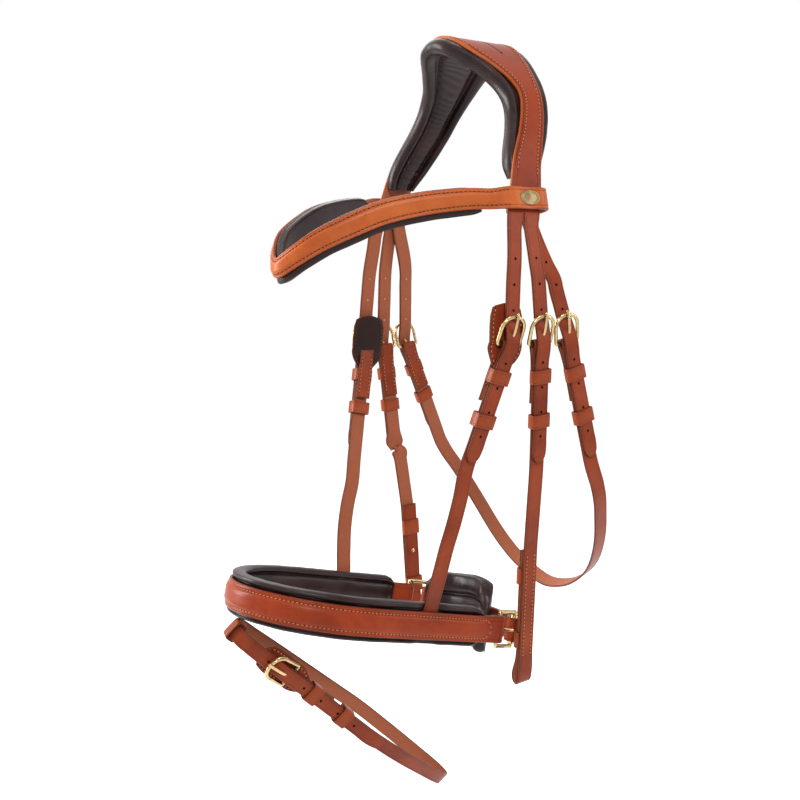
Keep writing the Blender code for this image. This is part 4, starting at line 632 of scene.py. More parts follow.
def hanger_rows(side, lowered):
    """A hanger's guide, down into its pocket behind the noseband's leather."""
    rows = with_straights(strap_rows(HANGER_SHARES, side, lowered), HANGER_STRAIGHT_ROWS)
    inset = NOSE_LEATHER + 2 * CLEARANCE + STRAP_THICK / 2 + STRAP_FOLD.flat
    x = NOSE_HALF_WIDTH - inset
    top = NOSE_WIDTH / 2
    for v, ease_out in ((top + NOSE_PAD_TOP, 2 * CLEARANCE), (top, 0.0), (0.0, 0.0),
                        (-HANGER_SEAT, 0.0)):
        rows.append(nose_point((x + ease_out) * side, HANGER_PLACE, v))
    return rows


def cheek_rows(side, lowered):
    return with_straights(strap_rows(CHEEK_SHARES, side, lowered), CHEEK_STRAIGHT_ROWS)


def throat_rows(lowered):
    """The throat strap's guide from the near billet, under the jaw, to the far billet."""
    near = with_straights(strap_rows(THROAT_SHARES, 1, 0.0), THROAT_STRAIGHT_ROWS)
    far = strap_rows(THROAT_SHARES, -1, lowered)
    far = [row + Y_AXIS * FAR_LEAN * share for row, share in zip(far, THROAT_LEAN_SHARES)]
    far = with_straights(far, THROAT_STRAIGHT_ROWS)
    return near + far[-2::-1]


def bar_seat(guide, shares, bar_row, side, lowered, down=1):
    """The seat of a strap's buckle, at the bar's row."""
    row = strap_rows(shares[bar_row:bar_row + 1], side, lowered)[0]
    return Seat(guide, guide.nearest(row), down)


def nose_rows():
    """The noseband's guide from the near crank bar round the front to the far ring bar."""
    inset = NOSE_LEATHER / 2 + NOSE_FOLD.flat
    half, depth = NOSE_HALF_WIDTH - inset, NOSE_DEPTH - inset
    start = depth + inset - NOSE_BEHIND_FRONT
    rows = [(NOSE_BACK_HALF, NOSE_BACK)]
    for share in NOSE_SIDE_SHARES:
        rows.append((half, blend(start, NOSE_BACK, share)))
    for step in range(NOSE_FRONT_STEPS + 1):
        angle = math.pi * step / NOSE_FRONT_STEPS
        rows.append((half * math.cos(angle), start - depth * math.sin(angle)))
    mirrored = [(-x, y) for x, y in reversed(rows[:len(NOSE_SIDE_SHARES) + 1])]
    return [nose_point(x, y) for x, y in rows + mirrored]


def crank_rows(near, far):
    """The crank strap's guide from the near roller, behind the jaw, to the far ring."""
    start = NOSE_FRAME.inverted() @ near.bar_matrix(CRANK_DEPTH) @ (Y_AXIS * CRANK_DEPTH)
    end = NOSE_FRAME.inverted() @ far.bar_matrix(CRANK_DEPTH) @ (Y_AXIS * CRANK_DEPTH)
    rows = []
    for bar, shares in ((start, CRANK_SHARES), (end, CRANK_SHARES[-2::-1])):
        rows += [nose_point(bar.x * x, bar.y + CRANK_BOW * y) for x, y in shares]
    return rows


def flash_axes():
    """The flash loop's plane: front point, run down its length, across and up."""
    run = Vector((0, math.cos(FLASH_SLOPE), -math.sin(FLASH_SLOPE)))
    front = nose_point(0, FLASH_INSET - NOSE_BEHIND_FRONT, -NOSE_WIDTH / 2 - FLASH_DROP)
    front += run * OVER_BAR_N
    lift = Vector((0, math.sin(FLASH_SLOPE), math.cos(FLASH_SLOPE)))
    across = X_AXIS * math.cos(FLASH_ROLL) - lift * math.sin(FLASH_ROLL)
    normal = lift * math.cos(FLASH_ROLL) + X_AXIS * math.sin(FLASH_ROLL)
    return front, run, across, normal


def flash_rows():
    """A closed leaf-shaped loop that starts at the front and runs back on the near side."""
    front, run, across, _ = flash_axes()
    near = [(length * FLASH_LENGTH, width * FLASH_SPREAD) for length, width in FLASH_SHARES]
    far = [(length, -width) for length, width in reversed(near[1:-1])]
    rows = [front + run * length + across * width for length, width in near + far + near[:1]]
    return with_straights(rows, (FLASH_STRAIGHT_ROW,))


# headpiece, crown pad and throat billets

def crown_rows():
    """Arch places and edges from the far split over the poll to the near split."""
    near = []
    for x, drop, pad_front, pad_rear, front, rear in CROWN_SHARES:
        arch = Vector((x * SPREAD, CROWN_PAD + CLEARANCE - drop * SPLIT_DROP))
        edges = [share * CROWN_DEPTH for share in (pad_front, pad_rear, front, rear)]
        near.append((arch, edges))
    far = [(Vector((-arch.x, arch.y)), edges) for arch, edges in reversed(near[1:])]
    return far + near


class Arch:
    """The underside line of the crown, in the plane across the head, with its edges."""

    def __init__(self):
        rows = crown_rows()
        self.line = smooth_run([row[0] for row in rows], CROWN_STEPS)
        self.pad = smooth_run([Vector(row[1][:2]) for row in rows], CROWN_STEPS)
        self.leather = smooth_run([Vector(row[1][2:]) for row in rows], CROWN_STEPS)

    def axes(self, index):
        """A point of the line with its outward direction."""
        along = direction(self.line, index)
        return self.line[index], Vector((-along.y, along.x))

    def point(self, index, lift, y):
        place, outward = self.axes(index)
        spot = place + outward * lift
        return Vector((spot.x, y, spot.y))


def crown_section(arch, index):
    front, rear = arch.leather[index]
    slit = SLIT_WIDTH / 2
    middle = (front + rear) / 2
    share = ease((CROWN_PAD - arch.line[index].y) / SPLIT_DROP)
    thick = blend(CROWN_LEATHER, BILLET_THICK, share)
    return [
        (arch.point(index, thick, y), arch.point(index, 0.0, y))
        for y in (front, middle - slit, middle + slit, rear)
    ]


def throat_billet(name, seat, near):
    """A billet sewn under the headpiece's edge, through the browband's loop to its buckle."""
    put_strap(name, *billet_run(seat, seat.distance if near else seat.guide.total - seat.distance))


# browband

def loop_axes(arch, side):
    """The place where a browband loop goes round the headpiece, with its directions."""
    indices = range(len(arch.line) - 1)
    for index in (reversed(indices) if side > 0 else indices):
        high, low = arch.line[index].y, arch.line[index + 1].y
        if min(high, low) <= -LOOP_DROP <= max(high, low):
            share = (-LOOP_DROP - high) / (low - high)
            place = blend(arch.line[index], arch.line[index + 1], share)
            along = (arch.line[index + 1] - arch.line[index]).normalized()
            edges = blend(arch.leather[index], arch.leather[index + 1], share)
            outward = Vector((-along.y, 0, along.x))
            down = Vector((along.x, 0, along.y)) * side
            return Vector((place.x, 0, place.y)), outward, down, edges
    raise ValueError("the loop lies below the split")


def loop_sections(arch, side):
    """Sections round the headpiece from the inner end, rearward, then forward outside."""
    place, outward, down, (front, rear) = loop_axes(arch, side)
    wide = BROW_THICK / 2 + CLEARANCE
    outer = BILLET_THICK + LOOP_SLACK + wide
    inner = -(BILLET_THICK + 3 * LOOP_SLACK + wide)
    middle, reach = (outer + inner) / 2, (outer - inner) / 2
    turn = min(wide + CLEARANCE, reach)
    rear += LOOP_REAR
    path = [Vector((front + LOOP_START, inner)), Vector((rear - turn, inner))]
    for step in range(1, WRAP_STEPS):
        angle = math.pi * step / WRAP_STEPS
        path.append(Vector((rear + turn * (math.sin(angle) * 2 - 1),
                            middle - reach * math.cos(angle))))
    path += [Vector((y, outer)) for y in (rear - turn, (front + rear) / 2, front - LOOP_LEAD)]
    sections = []
    for index, (y, n) in enumerate(path):
        along = direction(path, index)
        half_thick = (outward * -along.x + Y_AXIS * along.y) * BROW_THICK / 2
        centre = place + outward * n + Y_AXIS * y
        places = [centre + down * LOOP_HEIGHT / 2 * share for share in BROW_COLUMN_SHARES]
        sections.append([(spot + half_thick, spot - half_thick) for spot in places])
    return sections


def brow_line():
    near = [Vector((x * SPREAD, y * BROW_REACH, -LOOP_DROP - dip * BROW_DIP))
            for x, y, dip, _ in BROW_SHARES]
    far = [Vector((-row.x, row.y, row.z)) for row in reversed(near[1:])]
    heights = [Vector((height * BROW_HEIGHT, 0)) for *_, height in BROW_SHARES]
    heights = list(reversed(heights[1:])) + heights
    return smooth_run(far + near, BROW_STEPS), [h.x for h in smooth_run(heights, BROW_STEPS)]


def brow_axes(line, index):
    along = direction(line, index)
    outward = along.cross(Z_AXIS).normalized() * -1
    if outward.dot(line[index] - Vector((0, 0, line[index].z))) < 0:
        outward *= -1
    up = outward.cross(along).normalized()
    return outward, up if up.z > 0 else up * -1


def browband(arch):
    line, heights = brow_line()
    sections = []
    for index, place in enumerate(line):
        outward, up = brow_axes(line, index)
        section = []
        for column, share in enumerate(BROW_COLUMN_SHARES):
            raised = BROW_CROWN if column in (1, 2) else 0.0
            spot = place - up * share * heights[index] / 2
            section.append((spot + outward * (BROW_THICK / 2 + raised),
                            spot - outward * BROW_THICK / 2))
        sections.append(section)
    sections = loop_sections(arch, -1) + sections + loop_sections(arch, 1)[::-1]
    put_strap("browband", sections)


# noseband, crank closure and chin pad

def noseband(guide):
    near = NOSE_FOLD.run(Seat(guide, 0.0, 1))[::-1]
    far = NOSE_FOLD.run(Seat(guide, guide.total, -1))
    start, end = NOSE_FOLD.merge, guide.total - NOSE_FOLD.merge
    half = NOSE_WIDTH / 2
    inner = half * NOSE_RAISED_SHARE
    seat = Seat(guide, 0.0, -1)
    middle = []
    for step in range(1, NOSE_STATIONS):
        distance = blend(start, end, step / NOSE_STATIONS)
        rise = ease(min(distance - start, end - distance) / NOSE_WIDTH)
        middle.append(flat_section(seat, distance, NOSE_FOLD.flat, half, NOSE_LEATHER,
                                   (-half, -inner, inner, half), NOSE_CROWN * rise))
    put_strap("noseband", near + middle + far)


def crank_strap(guide):
    """The strap behind the jaw: round the near roller and back, and folded on the far ring."""
    seat = Seat(guide, 0.0, -1)

    def layer(distance, n):
        return flat_section(seat, distance, n, CRANK_STRAP_WIDTH / 2, CRANK_STRAP_THICK)

    near = ROLLER_FOLD.run(Seat(guide, 0.0, 1))[::-1]
    far = RING_FOLD.run(Seat(guide, guide.total, -1))
    flat = ROLLER_FOLD.flat
    start, end = ROLLER_FOLD.merge, guide.total - RING_FOLD.merge
    stop = guide.total - RING_FOLD.lap - CRANK_STRAP_THICK
    shares = [step / CRANK_STATIONS for step in range(1, CRANK_STATIONS)]
    outer = [layer(blend(start, end, share), flat) for share in shares]
    under = [flipped(layer(blend(start, stop, share), -flat)) for share in shares + [1]]
    put_strap("crank_strap", under[::-1] + near[1:] + outer + far)


def chin_rows(guide):
    """The chin pad's rear face: behind it at the middle lies the crank strap."""
    loop = KEEPER_THICK + 2 * CLEARANCE
    depth = ROLLER_FOLD.flat + CRANK_STRAP_THICK / 2 + loop
    middle = NOSE_FRAME.inverted() @ Seat(guide, guide.total / 2, -1).point(0.0, -depth)
    rows = [(CHIN_HALF * x, middle.y - CHIN_BOW * y) for x, y in CHIN_SHARES]
    rows += [(-x, y) for x, y in reversed(rows[:-1])]
    return [nose_point(x, y, CHIN_LIFT + x * math.tan(CHIN_TILT)) for x, y in rows]


def chin_loop(guide):
    """A leather loop behind the chin pad, round both layers of the crank strap."""
    deep = ROLLER_FOLD.flat + CRANK_STRAP_THICK / 2 + CLEARANCE
    half = CRANK_STRAP_WIDTH / 2 + KEEPER_ROOM
    mesh = keeper_mesh("chin_loop", half, -deep, deep + CLEARANCE, CHIN_LOOP_WIDTH)
    put("chin_loop", mesh, Seat(guide, guide.total / 2, -1).matrix())


# cheekpieces and hangers

def strap_stations(seat, start, end, fold):
    """Flat sections down a strap from start to end, given as distances below its buckle."""
    places = seat.guide.stations(seat.distance + start, seat.distance + end)
    return [
        flat_section(seat, seat.distance - place, fold.flat, fold.half, fold.thick)
        for place in places[1:]
    ]


def hanger(name, guide, seat):
    lower = strap_stations(seat, GUARDED_FOLD.merge, guide.total - seat.distance, GUARDED_FOLD)
    put_strap(name, GUARDED_FOLD.run(seat)[::-1] + lower)


def cheekpiece(name, guide, seat):
    """A cheek strap folded at the bit end, with its turned-up end hooked on a stud."""
    length = guide.total - seat.distance - FOLD_REACH
    half, thick, flat = STRAP_FOLD.half, STRAP_THICK, STRAP_FOLD.flat
    sections = STRAP_FOLD.run(seat)[::-1]
    sections += strap_stations(seat, STRAP_FOLD.merge, length, STRAP_FOLD)
    reach = (thick + BIT_GAP) / 2
    for step in range(1, WRAP_STEPS):
        angle = math.pi * step / WRAP_STEPS
        centre_n = flat - reach + reach * math.cos(angle)
        u = -length - FOLD_REACH * math.sin(angle)
        tilt_u, tilt_n = -math.sin(angle) * thick / 2, math.cos(angle) * thick / 2
        sections.append([
            (seat.point(u + tilt_u, centre_n + tilt_n, w),
             seat.point(u - tilt_u, centre_n - tilt_n, w))
            for w in (-half, half)
        ])
    hole = HOLE_WIDTH / 2 + CLEARANCE
    stud = STUD_RISE - FOLD_REACH
    stops = [BIT_BULGE * step / BULGE_STEPS for step in range(BULGE_STEPS + 1)]
    stops += [stud - 2 * hole, stud + 2 * hole, TURN_UP - FOLD_REACH]
    for stop in stops:
        n = blend(flat - 2 * reach, turned_up_n(), ease(stop / BIT_BULGE))
        sections.append(flipped(flat_section(seat, stop - length, n, half, thick)))
    put_strap(name, sections, [len(sections) - 3])


def turned_up_n():
    """The turned-up end's middle line, behind the main strap and a keeper's inner leg."""
    return STRAP_FOLD.flat - STRAP_THICK - KEEPER_THICK - 2 * CLEARANCE - KEEPER_ROOM


def lower_keeper(name, seat, guide, rise):
    """A keeper round the turned-up end only, between it and the main strap."""
    u = -(guide.total - rise - seat.distance)
    middle = turned_up_n()
    reach = STRAP_THICK / 2 + CLEARANCE
    mesh = keeper_mesh(name, STRAP_FOLD.half + KEEPER_ROOM, middle - reach, middle + reach,
                       LOWER_KEEPER_HEIGHT)
    put(name, mesh, seat.matrix(u))


def throatlatch(guide, seats):
    places = guide.stations(seats[1].distance + STRAP_FOLD.merge,
                            seats[-1].distance - STRAP_FOLD.merge)[1:-1]
    seat = Seat(guide, 0.0, -1)
    middle = [flat_section(seat, place, STRAP_FOLD.flat, STRAP_FOLD.half, STRAP_THICK)
              for place in places]
    put_strap("throatlatch", STRAP_FOLD.run(seats[1])[::-1] + middle + STRAP_FOLD.run(seats[-1]))


def buckled(name, seat, fold, meshes):
    """The buckle, tongue and two keepers of one fastening."""
    for word, mesh in zip(("_buckle", "_tongue"), meshes):
        put(name + word, mesh, seat.bar_matrix(fold.reach))
    stack_keeper(name + "_keeper", seat, -FIXED_KEEPER_DROP, fold)
    stack_keeper(name + "_runner", seat, -(FAR_RUNNER_DROP if "_far" in name else RUNNER_DROP),
                 fold)


# flash strap

def flash_strap(guide, seat):
    """One strap: from its tip through the buckle, round the loop and back to the buckle."""
    half = FLASH_WIDTH / 2
    start = seat.distance + FLASH_FOLD.merge
    end = seat.distance + guide.total - FLASH_REACH_UP
    ring = Seat(guide, 0.0, -1)
    lead = FLASH_FOLD.run(seat)[::-1]
    for distance in guide.stations(start, end)[1:-1]:
        share = ease((distance / guide.total - FLASH_RISE_SHARES[0]) / FLASH_RISE_SHARES[1])
        lead.append(flat_section(ring, distance, blend(FLASH_FOLD.flat, OVER_BAR_N, share), half,
                                 blend(STRAP_THICK, BILLET_THICK, share)))
    billet, holes = billet_run(seat, FLASH_REACH_UP, FLASH_TIP_LENGTH, half, FLASH_ABOVE_HOLES,
                               FLASH_BELOW_HOLES)
    put_strap("flash_strap", lead + billet, [len(lead) + index for index in holes])


def flash_loop(guide):
    """The leather loop under the noseband's front that carries the flash strap."""
    seat = Seat(guide, 0.0, -1)
    reach = BILLET_THICK / 2 + FLASH_LOOP_ROOM
    mesh = keeper_mesh("flash_loop", FLASH_WIDTH / 2 + KEEPER_ROOM, OVER_BAR_N - reach,
                       OVER_BAR_N + reach, FLASH_LOOP_HEIGHT, FLASH_LOOP_THICK)
    put("flash_loop", mesh, seat.matrix(0.0))


def nose_distance(guide, side):
    """Where along the noseband a hanger enters."""
    target = nose_point(NOSE_HALF_WIDTH * side, HANGER_PLACE)
    steps = SPAN_STEPS * NOSE_STATIONS
    return min((guide.total * step / steps for step in range(steps + 1)),
               key=lambda distance: (guide.place(distance) - target).length)


def closure(nose, crank):
    near, far = Seat(nose, 0.0, 1), Seat(nose, nose.total, -1)
    ring = square_ring("crank_frame")
    place = near.bar_matrix(CRANK_DEPTH)
    put("crank_buckle", ring, place)
    put("crank_ring", ring, far.bar_matrix(CRANK_DEPTH))
    put("crank_roller", roller_mesh("crank_roller"),
        place @ Matrix.Translation((0, CRANK_DEPTH, 0)))
    rest = ROLLER_RADIUS + CLEARANCE + TONGUE_THICK / 2
    put("crank_tongue", tongue_mesh("crank_tongue", CRANK_BAR, CRANK_DEPTH, rest), place)
    crank_strap(crank)
    chin_pad(crank)
    chin_loop(crank)


def flash_parts(flash):
    seat = Seat(flash, FLASH_BASE)
    buckle = buckle_mesh("flash_buckle", FLASH_BUCKLE_HALF, FLASH_BUCKLE_REACH)
    tongue = tongue_mesh("flash_tongue", WIRE_RADIUS, FLASH_BUCKLE_REACH, TONGUE_REST_N)
    flash_strap(flash, seat)
    guard("flash_guard", seat, FLASH_FOLD, FLASH_GUARD_RISE, FLASH_GUARD_DROP,
          FLASH_GUARD_HALF)
    buckled("flash", seat, FLASH_FOLD, (buckle, tongue))
    flash_loop(flash)


# finishes: procedural node materials

def add_node(tree, kind, inputs, **settings):
    """A node with its settings; each input is linked to a socket or set to a value."""
    node = tree.nodes.new(kind)
    for name, value in settings.items():
        setattr(node, name, value)
    wire(tree, node, inputs)
    return node


def wire(tree, node, inputs):
    for name, value in inputs.items():
        if isinstance(value, bpy.types.NodeSocket):
            tree.links.new(value, node.inputs[name])
        elif isinstance(value, tuple):
            node.inputs[name].default_value = (*value, 1)
        else:
            node.inputs[name].default_value = value


def cloudy(tree, coords, scale, detail=4.0, roughness=0.55, distortion=0.0):
    return add_node(tree, "ShaderNodeTexNoise", {
        "Vector": coords, "Scale": scale, "Detail": detail, "Roughness": roughness,
        "Distortion": distortion}).outputs["Fac"]


def ramp(tree, source, stops):
    node = tree.nodes.new("ShaderNodeValToRGB")
    while len(node.color_ramp.elements) < len(stops):
        node.color_ramp.elements.new(0.5)
    for element, (place, colour) in zip(node.color_ramp.elements, stops):
        element.position = place
        element.color = (*colour, 1)
    tree.links.new(source, node.inputs["Fac"])
    return node.outputs["Color"]


def mix(tree, share, first, last, kind="MIX"):
    """A colour mix; the share, first and last may each be a socket or a value."""
    return add_node(tree, "ShaderNodeMix", {0: share, 6: first, 7: last},
                    data_type="RGBA", blend_type=kind).outputs[2]


def maths(tree, kind, first, last=0.0):
    return add_node(tree, "ShaderNodeMath", {0: first, 1: last}, operation=kind).outputs[0]


def grey(value):
    return (value,) * 3


def dimmed(colour, share):
    return tuple(share * part for part in colour)


def new_material(name):
    finish = bpy.data.materials.new(name)
    finish.use_nodes = True
    tree = finish.node_tree
    shader = tree.nodes["Principled BSDF"]
    coords = tree.nodes.new("ShaderNodeTexCoord").outputs["Object"]
    return finish, tree, shader, coords


def bump(tree, shader, heights):
    """Bumps in a chain: each height is a socket with its strength and distance in metres."""
    normal = {}
    for height, strength, distance in heights:
        node = add_node(tree, "ShaderNodeBump", {
            "Strength": strength, "Distance": distance, "Height": height, **normal})
        normal = {"Normal": node.outputs["Normal"]}
    wire(tree, shader, normal)


def leather_material(name, grain, light, dark, flesh, edge):
    """Grained strap leather: an attribute holds the edge colour, the flesh side and the painted
    shade of the pressed lines in its three channels.
    """
    finish, tree, shader, coords = new_material(name)
    edge_flesh_and_crease_shade = add_node(tree, "ShaderNodeAttribute", {}, attribute_name="edge_flesh_and_crease_shade").outputs["Color"]
    edges, fleshy, creases = add_node(tree, "ShaderNodeSeparateColor", {"Color": edge_flesh_and_crease_shade}).outputs
    cloud = cloudy(tree, coords, 22.0, 5.0, 0.6, 0.3)
    fine = cloudy(tree, coords, 420.0, 3.0, 0.6)
    base = ramp(tree, cloud, ((0.28, dark), (0.5, grain), (0.74, light)))
    speck = ramp(tree, fine, ((0.3, (0.86, 0.84, 0.82)), (0.62, (1.0, 1.0, 1.0))))
    base = mix(tree, 0.55, base, speck, "MULTIPLY")
    fibres = cloudy(tree, coords, 900.0, 2.0, 0.7)
    base = mix(tree, fleshy, base, ramp(tree, fibres, ((0.3, dimmed(flesh, 0.84)), (0.7, flesh))))
    # painted shade: the crease channel darkens the pressed lines towards a dark brown
    base = mix(tree, maths(tree, "MULTIPLY", creases, 0.62), base, dimmed(dark, 0.36))
    base = mix(tree, maths(tree, "MULTIPLY", edges, 0.9), base, edge)
    cells = add_node(tree, "ShaderNodeTexVoronoi", {"Scale": 1100.0, "Vector": coords},
                     feature="SMOOTH_F1")
    gloss = ramp(tree, cloud, ((0.25, grey(0.26)), (0.75, grey(0.43))))
    wire(tree, shader, {
        "Base Color": base, "Roughness": mix(tree, fleshy, gloss, grey(0.55)),
        "Coat Weight": 0.03, "Coat Roughness": 0.22, "Specular IOR Level": 0.13})
    bump(tree, shader, ((cells.outputs["Distance"], 0.22, 0.00012), (fine, 0.25, 0.00025),
                        (cloud, 0.25, 0.0012)))
    return finish


def padding_material(name):
    finish, tree, shader, coords = new_material(name)
    cloud = cloudy(tree, coords, 30.0, 4.0, 0.6, 0.4)
    fine = cloudy(tree, coords, 700.0, 3.0, 0.6)
    base = ramp(tree, cloud, ((0.3, (0.016, 0.007, 0.007)), (0.55, (0.028, 0.013, 0.012)),
                              (0.8, (0.045, 0.022, 0.020))))
    speck = ramp(tree, fine, ((0.3, grey(0.7)), (0.65, grey(1.0))))
    cells = add_node(tree, "ShaderNodeTexVoronoi", {"Scale": 850.0, "Vector": coords})
    wire(tree, shader, {
        "Base Color": mix(tree, 0.4, base, speck, "MULTIPLY"), "Specular IOR Level": 0.21,
        "Roughness": ramp(tree, cloud, ((0.3, grey(0.27)), (0.75, grey(0.42))))})
    bump(tree, shader, ((cells.outputs["Distance"], 0.22, 0.0002), (cloud, 0.3, 0.0014)))
    return finish


def brass_material(name, tone=1.0, dull=0.0):
    finish, tree, shader, coords = new_material(name)
    cloud = cloudy(tree, coords, 120.0, 4.0, 0.6)
    fine = cloudy(tree, coords, 2200.0, 2.0, 0.6)
    stops = ((0.3, (0.30, 0.20, 0.09)), (0.55, (0.52, 0.38, 0.19)), (0.8, (0.64, 0.51, 0.30)))
    wire(tree, shader, {
        "Base Color": ramp(tree, cloud, [(at, dimmed(colour, tone)) for at, colour in stops]),
        "Roughness": ramp(tree, cloud, ((0.3, grey(0.28 + dull)), (0.75, grey(0.17 + dull)))),
        "Metallic": 1.0})
    bump(tree, shader, ((fine, 0.12, 0.00005),))
    return finish


def thread_material(name, colour):
    finish, tree, shader, coords = new_material(name)
    twist = add_node(tree, "ShaderNodeTexWave", {
        "Scale": 900.0, "Distortion": 1.5, "Vector": coords}).outputs["Fac"]
    wire(tree, shader, {
        "Base Color": ramp(tree, twist, ((0.2, dimmed(colour, 0.6)), (0.8, colour))),
        "Roughness": 0.6})
    bump(tree, shader, ((twist, 0.4, 0.0001),))
    return finish


# a flat, glossless colour, for the painted shade in holes and the painted light seen through far
# ones
def hole_material(name, dark, light):
    finish, tree, shader, coords = new_material(name)
    wire(tree, shader, {
        "Base Color": ramp(tree, cloudy(tree, coords, 900.0), ((0.3, dark), (0.7, light))),
        "Roughness": 0.8, "Specular IOR Level": 0.0})
    return finish


TAN_LIGHT = (0.36, 0.066, 0.022)
TAN_MID = (0.285, 0.046, 0.014)
TAN_DARK = (0.195, 0.028, 0.008)
FLESH = (0.40, 0.118, 0.056)
DARK_EDGE = (0.085, 0.024, 0.011)
BRIGHT_EDGE = (0.56, 0.135, 0.030)
FINISHES = {
    "tan": leather_material("tan_strap_leather", TAN_MID, TAN_LIGHT, TAN_DARK, FLESH, DARK_EDGE),
    "crown": leather_material("crown_leather", (0.285, 0.038, 0.009), (0.35, 0.053, 0.014),
                              (0.21, 0.026, 0.006), FLESH, BRIGHT_EDGE),
    "orange": leather_material("orange_leather", (0.55, 0.125, 0.030), (0.64, 0.165, 0.045),
                               (0.43, 0.080, 0.020), FLESH, (0.24, 0.045, 0.014)),
    "keeper": leather_material("keeper_leather", (0.33, 0.060, 0.017), (0.42, 0.085, 0.026),
                               (0.24, 0.040, 0.012), FLESH, (0.09, 0.020, 0.010)),
    "nose": leather_material("noseband_leather", (0.33, 0.045, 0.013), (0.42, 0.070, 0.024),
                             (0.22, 0.028, 0.009), FLESH, (0.09, 0.020, 0.010)),
    "guard": leather_material("guard_leather", (0.27, 0.042, 0.015), (0.35, 0.062, 0.022),
                              (0.18, 0.026, 0.010), (0.030, 0.014, 0.012), DARK_EDGE),
    "padding": padding_material("dark_padding"),
    "brass": brass_material("polished_brass"),
    "thread": thread_material("pale_thread", (0.70, 0.26, 0.09)),
    "dark_thread": thread_material("dark_thread", (0.42, 0.105, 0.030)),
    "pad_thread": thread_material("pad_thread", (0.030, 0.018, 0.016)),
    # painted shade inside holes, and painted light seen through the far holes
    "hole": hole_material("hole_shade", (0.010, 0.004, 0.002), (0.030, 0.010, 0.005)),
    "hole_painted_light": hole_material("lit_hole", (0.42, 0.13, 0.045), (0.80, 0.44, 0.20)),
    "guard_thread": thread_material("guard_thread", (0.105, 0.048, 0.034)),
    # painted shade in the awl holes between stitches
    "awl": hole_material("awl_hole_shade", (0.05, 0.011, 0.004), (0.12, 0.026, 0.009)),
    "old_brass": brass_material("dull_brass", 0.55, 0.16),
}


def finish_of(name):
    """The finish of a node, by its name."""
    if name == "browband":
        return "orange"
    if name.endswith(("buckle", "tongue", "ring", "roller")) or "stud" in name:
        return "brass"
    if "keeper" in name or "runner" in name or name.endswith("loop"):
        return "keeper"
    if "guard" in name:
        return "guard"
    if name == "noseband":
        return "nose"
    return "tan"


# meshes

def add_piece(name, mesh, finish, node, shown=True, place=Matrix()):
    """A piece on its node's body, which it replaces if it is shown in its stead."""
    item = add_object(name + "_shown" if shown else name, mesh)
    item.matrix_world = place
    if not mesh.materials:
        mesh.materials.append(FINISHES[finish])
    bpy.context.view_layer.update()
    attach(item, BODY_OF[node])
    if shown:
        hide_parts(node)
    return item


def smooth_mesh(name, shape, angle=50, turned=False):
    """A mesh with its edges sharp from an angle on; faces already turned out stay so."""
    if not turned:
        bmesh.ops.recalc_face_normals(shape, faces=shape.faces)
    mesh = bpy.data.meshes.new(name)
    shape.to_mesh(mesh)
    shape.free()
    mesh.shade_smooth()
    mesh.set_sharp_from_angle(angle=math.radians(angle))
    return mesh


def add_object(name, data):
    item = bpy.data.objects.new(name, data)
    bpy.context.scene.collection.objects.link(item)
    return item


def put(name, mesh, place):
    """A node's own piece, from a mesh in the node's local frame."""
    if mesh.users:
        mesh = mesh.copy()
    add_piece(name, mesh, finish_of(name), name, place=place)


def bridge(shape, first, last):
    """Faces between two rings with as many corners each."""
    faces = []
    for index in range(len(first)):
        follow = (index + 1) % len(first)
        faces.append(shape.faces.new((first[index], first[follow], last[follow], last[index])))
    return faces


def skin(shape, rows, closed=False):
    """Faces along rows of corners, with a cap at each end unless the rows close."""
    for first, last in zip(rows, rows[1:] + (rows[:1] if closed else [])):
        bridge(shape, first, last)
    if not closed:
        shape.faces.new(rows[0])
        shape.faces.new(rows[-1])


def loft(rings, closed=False):
    shape = bmesh.new()
    skin(shape, [[shape.verts.new(point) for point in ring] for ring in rings], closed)
    return shape


def oval(centre, first, last, count, offset=0.0):
    """Points round a centre; first and last are the two half axes."""
    turns = [2 * math.pi * (step + offset) / count for step in range(count)]
    return [centre + first * math.cos(turn) + last * math.sin(turn) for turn in turns]


def frames_of(sections):
    """Each section's middle, half width, half thickness and the rise of its middle."""
    frames = []
    for section in sections:
        left = (section[0][0] + section[0][1]) / 2
        right = (section[-1][0] + section[-1][1]) / 2
        centre = (left + right) / 2
        thick = (section[0][0] + section[-1][0] - section[0][1] - section[-1][1]) / 4
        rise = 0.0
        if len(section) > 2:
            middle = sum((column[0] for column in section[1:-1]), Vector())
            middle /= len(section) - 2
            rise = (middle - centre).dot(thick.normalized()) - thick.length
        frames.append((centre, (right - left) / 2, thick, max(rise, 0.0)))
    return frames


def hermite(values, places, at, index):
    """A smooth value at a place between two known ones, from their neighbours' slopes."""
    def slope(i):
        low, high = max(i - 1, 0), min(i + 1, len(values) - 1)
        if low == i or high == i:
            return (values[high] - values[low]) / (places[high] - places[low])
        back, ahead = places[i] - places[low], places[high] - places[i]
        before = (values[i] - values[low]) / back
        after = (values[high] - values[i]) / ahead
        return (before * ahead + after * back) / (back + ahead)

    span = places[index + 1] - places[index]
    t = (at - places[index]) / span
    first, last = values[index], values[index + 1]
    out, into = slope(index) * span, slope(index + 1) * span
    return (first * (1 + 2 * t) * (1 - t) ** 2 + out * t * (1 - t) ** 2
            + last * t * t * (3 - 2 * t) + into * t * t * (t - 1))


RUN_SPACING = 0.0022
RUN_SHORTEST = 0.0009
LEAST_STEP = 1e-5


